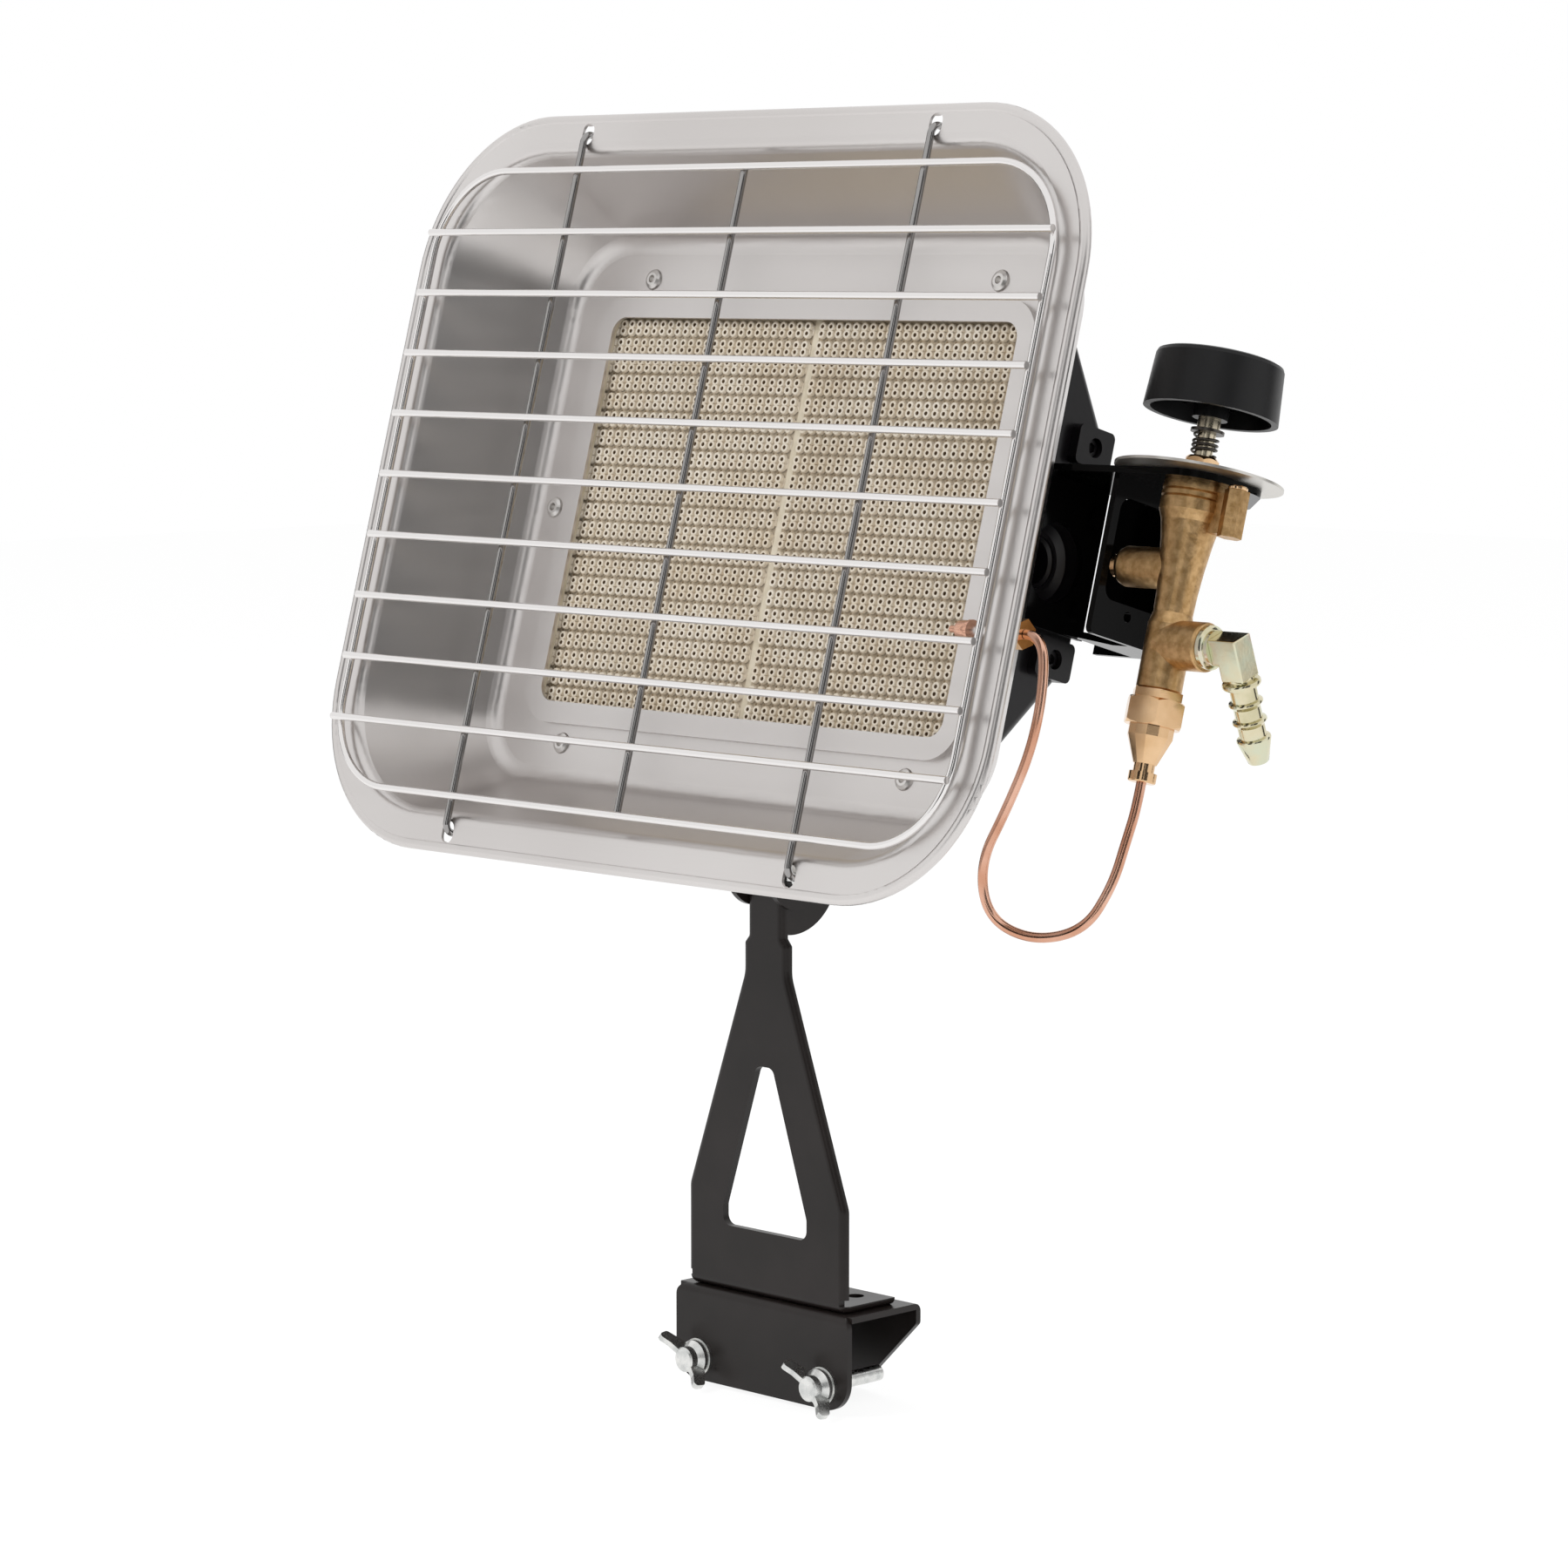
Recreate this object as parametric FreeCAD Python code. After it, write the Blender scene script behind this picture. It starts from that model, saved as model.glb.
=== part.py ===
import FreeCAD, Part
import math
import os

# A clamp-on radiant gas heater: a tilting reflector head on a sheet-metal post.
# Millimetres, +Z up, front towards -Y. The origin is the centre of the underside
# of the clamp's top plate, where the heater sits on the edge that it grips.

V = FreeCAD.Vector
X_AXIS = V(1, 0, 0)
Y_AXIS = V(0, 1, 0)
Z_AXIS = V(0, 0, 1)

# Fits
running_gap = 0.05
face_gap = 0.1
seat_gap = 0.02

# Clamp bracket
clamp_sheet = 2.0
clamp_half_width = 38.5
clamp_inside_depth = 28.8
clamp_front_drop = 28.4
clamp_top_corner = 4.0
clamp_bottom_corner = 9.5
clamp_bend = 2.6
clamp_rear_shoulder = 4.5
clamp_rear_foot_half_width = 14.0
clamp_rear_corner = 6.0
clamp_shoulder_corner = 2.0

# Wing screws of the clamp
screw_spacing = 55.8
screw_drop = 20.8
screw_thread_radius = 2.5
screw_reach = 25.8
washer_radius = 6.0
washer_thickness = 1.0
wing_hub_length = 6.3
wing_hub_base_radius = 5.6
wing_hub_front_radius = 4.0
wing_tip_radius = 11.5
wing_sweep = 3.4
wing_thickness = 1.9
wing_height = 5.2
clamp_wing_angle = 140.0
weld_nut_side = 9.0
weld_nut_thickness = 3.5

# Post
post_sheet = 2.5
post_front_offset = 1.8
post_half_width = 35.0
post_flange_depth = 22.9
post_bend = 3.2
post_relief = 2.0
post_shoulder_height = 34.7
post_neck_height = 105.2
post_neck_half_width = 9.9
post_jog_height = 115.0
post_jog_rise = 2.2
post_shoulder_corner = 6.0
post_neck_corner = 12.0
post_jog_corner = 1.0
window_apex_height = 76.0
window_side_height = 29.8
window_bottom_height = 23.2
window_half_width = 18.7
window_apex_half_width = 3.6
window_corner = 3.2
base_hole_spacing = 50.0
base_hole_radius = 2.75
base_hole_setback = 15.5
ear_half_width = 8.0
ear_bend = 2.4
post_web_gap = 0.6
ear_lobe_radius = 20.0

# Tilt joint
pivot_setback = 5.0
pivot_height = 138.2
rest_tilt = 15.6
pivot_behind_rim = 70.0
pivot_below_centre = 105.3
tilt_bolt_radius = 3.0
tilt_bolt_head_flats = 10.0
tilt_bolt_head_height = 4.0
tilt_bolt_spare = 7.0
tilt_nut_hub_length = 7.0
tilt_nut_base_radius = 6.4
tilt_nut_front_radius = 5.0
tilt_nut_wing_radius = 12.5
spacer_radius = 5.0
hinge_sheet = 2.0
hinge_lobe_radius = 12.0
hinge_foot_width = 30.0
hinge_foot_start = 7.0
hinge_foot_run = 26.0

# Reflector dish, in the head's own frame: X across, Y back from the rim, Z up
dish_sheet = 1.0
rim_side_width = 11.8
rim_top_width = 12.35
rim_corner_growth = 11.0
rim_bead_radius = 1.8
rim_bead_setback = 1.3
flange_fillet = 5.0
wall_side_run = 23.5
wall_top_run = 19.0
wall_corner_growth = 18.0
floor_side_width = 21.1
floor_top_width = 25.0
floor_corner_growth = 16.5
floor_fillet = 6.0
dish_depth = 40.0
plate_side_cover = 4.1
plate_top_cover = 1.7
aperture_corner = 5.5
aperture_lip = 7.0
lip_rise = 2.0
rivet_head_radius = 3.5
rivet_head_height = 1.3
rivet_shank_radius = 2.0
rivet_tail_radius = 2.8
rivet_tail_height = 1.2
rivet_bore_radius = 1.25
rivet_inset = 12.9
rivet_row_margin = 13.1
side_rivet_margin = 12.6

# Wire guard
wire_radius = 1.15
guard_setback = -3.5
guard_side_cover = 1.7
guard_top_room = 6.2
guard_corner = 28.0
guard_drop = -0.8
bar_count = 9
bar_pitch = 20.1
bar_overhang = 0.8
upright_inset = 57.5
hook_margin = 5.8
hook_bend = 3.0
hook_depth = 5.0
hook_hole_radius = 2.6
hook_hole_length = 7.0

# Ceramic burner plates
plate_width = 91.7
plate_end_margin = 1.15
plate_thickness = 8.5
plate_gap = 0.2
seam_width = 2.6
ridge_count = 21
ridge_pitch = 6.1
ridge_groove_width = 1.3
ridge_groove_depth = 1.2
gasket_width = 4.5
gasket_clearance = 0.3
seam_recess = 1.5

# Burner housing
housing_sheet = 1.5
housing_side_room = 3.5
housing_top_room = 5.8
housing_flange_side = 8.5
housing_flange_top = 10.5
housing_flange_corner = 16.0
housing_knee_depth = 51.0
housing_knee_drop = 4.5
housing_back_depth = 78.5
housing_back_half_height = 28.0
housing_heel_depth = 74.0
housing_heel_half_height = 38.5
housing_corner = 5.0
housing_edge_fillet = 3.0
boss_width = 16.0
boss_height = 12.0
boss_rise = 3.5
boss_corner = 2.0
boss_setback = 67.5
boss_rows = 32.5
boss_hole_radius = 3.0
boss_screw_radius = 2.7
boss_screw_recess = 1.8
bracket_seat_rise = 3.0
mixing_bore_radius = 12.0
mixing_tube_wall = 1.2
mixing_tube_length = 150.0
mixing_throat_radius = 6.8
mixing_collar_length = 6.0
mixing_axis_height = -5.0

# Valve bracket
bracket_sheet = 2.0
bracket_rear_edge = 76.0
bracket_front_edge = 45.0
bracket_bottom = -25.0
shelf_top = 22.5
shelf_rear = 90.0
shelf_slant = 6.0
shelf_nose_radius = 13.5
cheek_stand_off = 28.6
cheek_front = 49.0
cheek_bottom = -26.6
cheek_window_front = 52.0
cheek_window_bottom = -15.5
cheek_window_top = 15.0
cheek_window_rear = 80.0
cheek_window_corner = 4.0
cheek_hole_radius = 1.6
cheek_hole_setback = 64.0
cheek_hole_height = -18.8
foot_front_inner = 56.0
foot_inset = 12.0
foot_step = 13.0
foot_step_width = 6.0
bracket_screw_radius = 3.0
bracket_screw_head_height = 1.8
bracket_screw_high = 11.5
bracket_screw_low = -17.5
bracket_screw_setback = 71.0

# Gas valve, on an axis parallel to the head's Z
valve_stand_off = 51.0
valve_axis_back = 58.0
valve_top = 20.5
valve_head_radius = 9.8
valve_groove_depth = 0.5
valve_groove_width = 0.8
valve_groove_tops = [16.1, 18.1]
valve_foot_radius = 6.75
valve_foot_top = -21.5
valve_foot = -41.0
neck_radius = 4.5
neck_top = 27.0
outlet_radius = 6.1
outlet_height = -4.7
outlet_length = 22.0
injector_radius = 3.4
injector_length = 2.8
injector_bore_radius = 0.9
inlet_radius = 7.25
inlet_height = -27.0
inlet_length = 15.5
side_web_thickness = 3.0
side_post_flats = 6.4
side_post_offset = 15.5
side_post_bottom = 5.3
side_post_top = 19.3
side_plug_radius = 1.6
side_plug_height = 3.2
dial_radius = 25.0
dial_thickness = 0.8
gland_across_corners = 11.2
gland_top = 28.7
gland_chamfer = 1.3
stem_radius = 2.7
stem_bottom = 8.0
stem_collar_radius = 3.4
spring_radius = 3.55
spring_wire_radius = 0.38
spring_turns = 3.5
spring_top = 36.0
cup_radius = 5.0
cup_thickness = 0.9
press_travel = 4.0
knob_bottom = 41.3
knob_top = 58.4
knob_bottom_radius = 20.0
knob_top_radius = 19.0
knob_wall = 2.0
knob_roof = 2.5
knob_hub_radius = 5.2
knob_hub_bottom = 40.2
knob_rib_count = 8
knob_rib_thickness = 1.2
knob_rib_recess = 5.0
knob_edge = 1.5
union_collar_radius = 8.0
union_collar_bottom = -43.5
union_nut_flats = 16.0
union_nut_bottom = -51.5
union_nut_chamfer = 1.2
cone_bottom = -62.5
cone_shoulder = 3.0
cone_top_radius = 6.75
cone_bottom_radius = 3.5
cone_sides = 12
cone_neck_radius = 3.1
lead_nut_radius = 4.15
lead_nut_top = -65.0
lead_nut_bottom = -68.0
lead_nut_edge = 0.5

# Hose elbow
elbow_collar_radius = 6.5
elbow_collar_length = 3.5
elbow_block = 9.5
elbow_stand_off = 6.1
barb_tilt = 35.0
barb_bore_radius = 2.25
barb_neck_radius = 3.8
barb_crest_radius = 4.85
barb_collar_radius = 5.7
barb_tip_radius = 2.9
barb_length = 35.2
barb_collar_place = 10.4
barb_collar_half = 1.0
barb_slope = 2.2
barb_crest_half = 0.4
barb_tip_taper = 3.5
barb_first_crest = 16.6
barb_crest_pitch = 5.7
barb_crest_count = 3

# Thermocouple
probe_setback = 25.0
probe_height = -32.7
probe_tip = 90.0
probe_sleeve_radius = 3.0
probe_hole_radius = 3.2
probe_tip_radius = 1.6
probe_tip_length = 6.0
probe_nut_length = 4.0
probe_nut_flats = 8.0
lead_radius = 1.5
lead_first_run = 6.7

# Places worked out from the sizes above
clamp_front = -clamp_inside_depth / 2 - clamp_sheet
clamp_rear = -clamp_front
post_front = clamp_front + post_front_offset
post_base = clamp_sheet
base_hole_line = post_front + base_hole_setback
pivot_line = post_front + pivot_setback
pivot = V(0, pivot_line, pivot_height)
head_pivot = V(0, pivot_behind_rim, -pivot_below_centre)
head_turn = FreeCAD.Rotation(X_AXIS, -rest_tilt)
head_place = FreeCAD.Placement(pivot - head_turn.multVec(head_pivot), head_turn)
dish_back = dish_depth + dish_sheet
lip_front = dish_depth - lip_rise
plate_front = dish_back + plate_gap
seam_half = seam_width / 2
plate_height = ridge_count * ridge_pitch + 2 * plate_end_margin
plate_outer = seam_half + plate_width
aperture_half_width = plate_outer - plate_side_cover
aperture_half_height = plate_height / 2 - plate_top_cover
floor_half_width = aperture_half_width + floor_side_width
floor_half_height = aperture_half_height + floor_top_width
floor_corner = aperture_corner + floor_corner_growth
mouth_half_width = floor_half_width + wall_side_run
mouth_half_height = floor_half_height + wall_top_run
mouth_corner = floor_corner + wall_corner_growth
rim_half_width = mouth_half_width + rim_side_width
rim_half_height = mouth_half_height + rim_top_width
rim_corner = mouth_corner + rim_corner_growth
rivet_columns = aperture_half_width - rivet_inset
rivet_rows = aperture_half_height + rivet_row_margin
side_rivet_column = aperture_half_width + side_rivet_margin
guard_half_width = mouth_half_width + guard_side_cover
guard_half_height = mouth_half_height - guard_top_room
upright_column = mouth_half_width - upright_inset
hook_height = mouth_half_height + hook_margin
housing_front = dish_back
housing_half_width = plate_outer + housing_side_room + housing_sheet
housing_mouth_half_height = plate_height / 2 + housing_top_room + housing_sheet
housing_knee_half_height = housing_mouth_half_height - housing_knee_drop
housing_flange_half_width = housing_half_width + housing_flange_side
housing_flange_half_height = housing_mouth_half_height + housing_flange_top
seat_face = housing_half_width + bracket_seat_rise
cheek_face = seat_face + cheek_stand_off
foot_inner_edge = seat_face + foot_inset
valve_axis_across = seat_face + valve_stand_off
outlet_end = valve_axis_across - outlet_length
injector_tip = outlet_end - injector_length
inlet_end = valve_axis_across + inlet_length
elbow_collar_end = inlet_end + elbow_collar_length
elbow_axis_across = elbow_collar_end + elbow_stand_off
dial_bottom = shelf_top
gland_bottom = dial_bottom + dial_thickness
spring_bottom = gland_top
hinge_inner = ear_half_width + face_gap
hinge_outer = hinge_inner + hinge_sheet
probe_nut_corner = probe_nut_flats / math.cos(math.pi / 6) / 2
wall_lean = math.atan2(mouth_half_width - floor_half_width, dish_depth)
wall_at_nut = mouth_half_width - math.tan(wall_lean) * (probe_setback - probe_nut_corner)
probe_nut_start = wall_at_nut + dish_sheet / math.cos(wall_lean) + face_gap
probe_nut_end = probe_nut_start + probe_nut_length

# The valve's tapering barrel, as (radius, height) pairs from the waist to the head
valve_barrel = [
    (5.8, -18.0),
    (6.05, -11.5),
    (6.7, -4.0),
    (7.75, 4.0),
    (8.65, 9.0),
    (valve_head_radius, 12.0),
]

# The copper lead's route, in the head's frame, from the probe's nut to the valve
lead_route = [
    V(probe_nut_end, probe_setback, probe_height),
    V(probe_nut_end + lead_first_run, probe_setback, probe_height),
    V(135.4, 27.4, -47.0),
    V(133.4, 29.6, -65.0),
    V(125.2, 32.8, -83.0),
    V(115.4, 36.6, -99.0),
    V(117.0, 42.4, -114.0),
    V(130.2, 48.4, -118.6),
    V(144.6, 54.0, -113.2),
    V(149.4, 57.0, -99.0),
    V(150.4, 58.2, -85.0),
    V(valve_axis_across, valve_axis_back, -76.0),
    V(valve_axis_across, valve_axis_back, lead_nut_bottom),
]


def corner_arc(start, corner, end):
    """The arc that leaves start and reaches end, tangent to both sides of the corner."""
    bisector = ((start - corner).normalize() + (end - corner).normalize()).normalize()
    side = (start - corner).Length
    half = (start - corner).getAngle(bisector)
    centre = corner + bisector * (side / math.cos(half))
    middle = centre - bisector * (side * math.tan(half))
    return Part.Arc(start, middle, end).toShape()


def rounded_outline(points, radii):
    """A closed wire through the points, with each corner rounded by its radius."""
    count = len(points)
    corners = []
    for i in range(count):
        before = (points[i - 1] - points[i]).normalize()
        after = (points[(i + 1) % count] - points[i]).normalize()
        cut = radii[i] / math.tan(before.getAngle(after) / 2)
        corners.append((points[i] + before * cut, points[i], points[i] + after * cut))
    edges = []
    for i in range(count):
        start, corner, end = corners[i]
        if radii[i] > 0:
            edges.append(corner_arc(start, corner, end))
        following = corners[(i + 1) % count][0]
        if (following - end).Length > 1e-6:
            edges.append(Part.LineSegment(end, following).toShape())
    return Part.Wire(edges)


def rounded_rectangle(half_width, half_height, radius, depth, drop=0.0):
    """A rounded rectangle across X and Z, at one depth along Y."""
    points = [
        V(half_width, depth, drop - half_height),
        V(half_width, depth, drop + half_height),
        V(-half_width, depth, drop + half_height),
        V(-half_width, depth, drop - half_height),
    ]
    return rounded_outline(points, [radius] * 4)


def prism(outline, along):
    return Part.Face(outline).extrude(along)


def box(low, high):
    return Part.makeBox(high.x - low.x, high.y - low.y, high.z - low.z, low)


def rod(start, end, radius):
    return Part.makeCylinder(radius, (end - start).Length, start, end - start)


def turned(profile, base, axis):
    """A solid of revolution from (radius, height) pairs, set on base along axis."""
    points = [V(radius, 0, height) for radius, height in profile]
    face = Part.Face(Part.makePolygon(points + points[:1]))
    solid = face.revolve(V(0, 0, 0), Z_AXIS, 360)
    solid.Placement = FreeCAD.Placement(base, FreeCAD.Rotation(Z_AXIS, axis))
    return solid


def prism_bar(sides, across_corners, base, along, turn=0.0):
    """A regular prism on base, as long as along."""
    points = []
    for i in range(sides):
        angle = math.radians(turn + 360.0 * i / sides)
        points.append(V(math.cos(angle), math.sin(angle), 0) * (across_corners / 2))
    solid = Part.Face(Part.makePolygon(points + points[:1])).extrude(Z_AXIS * along.Length)
    solid.Placement = FreeCAD.Placement(base, FreeCAD.Rotation(Z_AXIS, along))
    return solid


def hexagon(across_flats, base, along, turn=0.0):
    return prism_bar(6, across_flats / math.cos(math.pi / 6), base, along, turn)


def tube_along(edges, radius, start, direction):
    """A round bar swept along a path of tangent edges."""
    section = Part.Wire([Part.Circle(start, direction, radius).toShape()])
    return Part.Wire(edges).makePipeShell([section], True, False)


def bent_path(points, radii):
    """Straight runs joined by tangent arcs: the edges of the path."""
    edges = []
    last = points[0]
    for i in range(1, len(points) - 1):
        before = (points[i - 1] - points[i]).normalize()
        after = (points[i + 1] - points[i]).normalize()
        cut = radii[i - 1] / math.tan(before.getAngle(after) / 2)
        start = points[i] + before * cut
        end = points[i] + after * cut
        edges.append(Part.LineSegment(last, start).toShape())
        edges.append(corner_arc(start, points[i], end))
        last = end
    edges.append(Part.LineSegment(last, points[-1]).toShape())
    return edges


def cord_radii(points):
    """Each bend takes 0.45 of its shorter run, so it is as large as the runs allow."""
    radii = []
    for i in range(1, len(points) - 1):
        before = points[i] - points[i - 1]
        after = points[i + 1] - points[i]
        shorter = min(before.Length, after.Length)
        radii.append(0.45 * shorter / math.tan(before.getAngle(after) / 2))
    return radii


def filleted(solid, radius, chosen):
    return solid.makeFillet(radius, [edge for edge in solid.Edges if chosen(edge)])


def edge_lies(edge, coordinate, value):
    """True where every sampled point of the edge has this coordinate."""
    points = edge.discretize(5)
    return all(abs(getattr(point, coordinate) - value) < 1e-4 for point in points)


def spread(edge, coordinate):
    """The edge's largest distance from the middle plane of the coordinate."""
    return max(abs(getattr(point, coordinate)) for point in edge.discretize(5))


def in_head(shape):
    placed = shape.copy()
    placed.Placement = head_place.multiply(placed.Placement)
    return placed


def mirrored(shape):
    return shape.mirror(V(0, 0, 0), X_AXIS)


def dish_section(depth, grow):
    """The dish's inner outline at a depth, made larger all round by grow."""
    share = depth / dish_depth
    half_width = mouth_half_width + (floor_half_width - mouth_half_width) * share
    half_height = mouth_half_height + (floor_half_height - mouth_half_height) * share
    corner = mouth_corner + (floor_corner - mouth_corner) * share
    return rounded_rectangle(half_width + grow, half_height + grow, corner + grow, depth)


def slope_grow():
    """The sheet's thickness measured across, on the sloping side wall."""
    return dish_sheet / math.cos(wall_lean)


def dish_envelope():
    """The outer skin: the flange's back, the sloping walls and the floor's back."""
    half_width = rim_half_width - rim_bead_radius
    half_height = rim_half_height - rim_bead_radius
    corner = rim_corner - rim_bead_radius
    flange = prism(rounded_rectangle(half_width, half_height, corner, 0), Y_AXIS * dish_sheet)
    grow = slope_grow()
    walls = Part.makeLoft([dish_section(dish_sheet, grow), dish_section(dish_back, grow)], True, True)
    skin = flange.fuse(walls)
    reach = mouth_half_height + grow
    return filleted(
        skin,
        flange_fillet - dish_sheet,
        lambda edge: edge_lies(edge, "y", dish_sheet)
        and spread(edge, "z") < reach
        and spread(edge, "x") < mouth_half_width + grow,
    )


def dish_hollow():
    """What lies in front of the sheet: open space before the flange, then the bowl."""
    space = 2 * rim_bead_radius
    front = prism(
        rounded_rectangle(rim_half_width + space, rim_half_height + space, rim_corner, -space),
        Y_AXIS * space,
    )
    bowl = Part.makeLoft([dish_section(0, 0), dish_section(dish_depth, 0)], True, True)
    hollow = front.fuse(bowl)
    hollow = filleted(
        hollow,
        flange_fillet,
        lambda edge: edge_lies(edge, "y", 0)
        and spread(edge, "x") < mouth_half_width + 0.01
        and spread(edge, "z") < mouth_half_height + 0.01,
    )
    return filleted(hollow, floor_fillet, lambda edge: edge_lies(edge, "y", dish_depth))


def aperture_step():
    """The raised lip round the burner opening, folded forward out of the floor."""
    outer = rounded_rectangle(
        aperture_half_width + aperture_lip,
        aperture_half_height + aperture_lip,
        aperture_corner + aperture_lip,
        lip_front,
    )
    pocket = rounded_rectangle(
        aperture_half_width + aperture_lip - dish_sheet,
        aperture_half_height + aperture_lip - dish_sheet,
        aperture_corner + aperture_lip - dish_sheet,
        lip_front + dish_sheet,
    )
    inside = prism(pocket, Y_AXIS * dish_back)
    return prism(outer, Y_AXIS * (dish_back - lip_front)).cut(inside), inside


def hook_slot(across, height):
    half = hook_hole_length / 2 - hook_hole_radius
    outline = rounded_outline(
        [
            V(across - hook_hole_radius, -5, height - half - hook_hole_radius),
            V(across + hook_hole_radius, -5, height - half - hook_hole_radius),
            V(across + hook_hole_radius, -5, height + half + hook_hole_radius),
            V(across - hook_hole_radius, -5, height + half + hook_hole_radius),
        ],
        [hook_hole_radius * 0.99] * 4,
    )
    return prism(outline, Y_AXIS * (dish_sheet + 10))


def rivet_places():
    places = [(side_rivet_column, 0.0), (-side_rivet_column, 0.0)]
    for across in (-rivet_columns, rivet_columns):
        for height in (-rivet_rows, rivet_rows):
            places.append((across, height))
    return places


def reflector_dish():
    dish = dish_envelope().cut(dish_hollow())
    bead_outline = rounded_rectangle(
        rim_half_width - rim_bead_radius,
        rim_half_height - rim_bead_radius,
        rim_corner - rim_bead_radius,
        rim_bead_setback,
    )
    start = V(rim_half_width - rim_bead_radius, rim_bead_setback, 0)
    ring = Part.Wire([Part.Circle(start, Z_AXIS, rim_bead_radius).toShape()])
    bead = bead_outline.makePipeShell([ring], True, False)
    step, pocket = aperture_step()
    dish = dish.cut(pocket).fuse(step).fuse(bead)
    aperture = rounded_rectangle(aperture_half_width, aperture_half_height, aperture_corner, 0)
    dish = dish.cut(prism(aperture, Y_AXIS * 2 * dish_back))
    for across in (-upright_column, upright_column):
        for height in (-hook_height, hook_height):
            dish = dish.cut(hook_slot(across, height))
    for across, height in rivet_places():
        centre = V(across, dish_depth - 1, height)
        dish = dish.cut(rod(centre, centre + Y_AXIS * (dish_sheet + 2), rivet_shank_radius))
    return dish.cut(rod(probe_point(probe_tip), probe_point(probe_nut_end), probe_hole_radius))


def rivet(across, height):
    top = rivet_head_height
    back = dish_sheet + housing_sheet
    profile = [
        (rivet_bore_radius, top),
        (rivet_head_radius * 0.6, top),
        (rivet_head_radius * 0.9, top * 0.55),
        (rivet_head_radius, 0),
        (rivet_shank_radius, 0),
        (rivet_shank_radius, -back),
        (rivet_tail_radius, -back),
        (rivet_tail_radius, -back - rivet_tail_height),
        (rivet_bore_radius, -back - rivet_tail_height),
    ]
    return turned(profile, V(across, dish_depth, height), -Y_AXIS)


def guard_ring():
    outline = rounded_rectangle(
        guard_half_width, guard_half_height, guard_corner, guard_setback, guard_drop
    )
    start = V(guard_half_width, guard_setback, guard_drop)
    section = Part.Wire([Part.Circle(start, Z_AXIS, wire_radius).toShape()])
    return outline.makePipeShell([section], True, False)


def guard_bars():
    depth = guard_setback - 2 * wire_radius - seat_gap
    reach = guard_half_width + bar_overhang
    bars = []
    for i in range(bar_count):
        height = guard_drop + (i - (bar_count - 1) / 2) * bar_pitch
        bars.append(rod(V(-reach, depth, height), V(reach, depth, height), wire_radius))
    return bars


def guard_uprights():
    depth = guard_setback + 2 * wire_radius + seat_gap
    uprights = []
    for across in (-upright_column, upright_column):
        points = [
            V(across, hook_depth, hook_height),
            V(across, depth, hook_height),
            V(across, depth, -hook_height),
            V(across, hook_depth, -hook_height),
        ]
        edges = bent_path(points, [hook_bend, hook_bend])
        uprights.append(tube_along(edges, wire_radius, points[0], Y_AXIS))
    reach = guard_half_height + bar_overhang
    low = V(0, depth, guard_drop - reach)
    uprights.append(rod(low, V(0, depth, guard_drop + reach), wire_radius))
    return uprights


def ceramic_plate():
    """One burner plate, with the horizontal ridges that carry its rows of ports."""
    low = V(seam_half, plate_front, -plate_height / 2)
    high = V(seam_half + plate_width, plate_front + plate_thickness, plate_height / 2)
    plate = box(low, high)
    half = ridge_groove_width / 2
    grooves = []
    for i in range(ridge_count + 1):
        height = (i - ridge_count / 2) * ridge_pitch
        points = [
            V(low.x - 1, plate_front - 0.01, height - half),
            V(low.x - 1, plate_front + ridge_groove_depth, height - half * 0.5),
            V(low.x - 1, plate_front + ridge_groove_depth, height + half * 0.5),
            V(low.x - 1, plate_front - 0.01, height + half),
        ]
        grooves.append(prism(Part.makePolygon(points + points[:1]), X_AXIS * (plate_width + 2)))
    return plate.cut(Part.makeCompound(grooves))


def seam_strip():
    low = V(-seam_half, plate_front + seam_recess, -plate_height / 2)
    high = V(seam_half, plate_front + plate_thickness, plate_height / 2)
    return box(low, high)


def plate_gasket():
    """The fibre frame between the plates and the back of the aperture's lip."""
    clearance = dish_sheet + gasket_clearance
    front = lip_front + dish_sheet
    outer_width = aperture_half_width + aperture_lip - clearance
    outer_height = aperture_half_height + aperture_lip - clearance
    outer_corner = aperture_corner + aperture_lip - clearance
    outer = rounded_rectangle(outer_width, outer_height, outer_corner, front)
    inner = rounded_rectangle(
        outer_width - gasket_width, outer_height - gasket_width, aperture_corner, front
    )
    return prism(outer, Y_AXIS * (plate_front - front)).cut(prism(inner, Y_AXIS * 10))


def housing_profile(inset, start_x):
    """The housing seen from the side, drawn in by inset."""
    front = housing_front
    lean = inset * 1.2
    points = [
        V(start_x, front, -housing_mouth_half_height + inset),
        V(start_x, housing_knee_depth - inset * 0.6, -housing_knee_half_height + inset),
        V(start_x, housing_heel_depth - lean, -housing_heel_half_height + inset * 0.5),
        V(start_x, housing_back_depth - inset, -housing_back_half_height),
        V(start_x, housing_back_depth - inset, housing_back_half_height),
        V(start_x, housing_heel_depth - lean, housing_heel_half_height - inset * 0.5),
        V(start_x, housing_knee_depth - inset * 0.6, housing_knee_half_height - inset),
        V(start_x, front, housing_mouth_half_height - inset),
    ]
    return rounded_outline(points, [0] + [housing_corner] * 6 + [0])


def boss_places():
    return [(boss_setback, boss_rows), (boss_setback, -boss_rows)]


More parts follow.
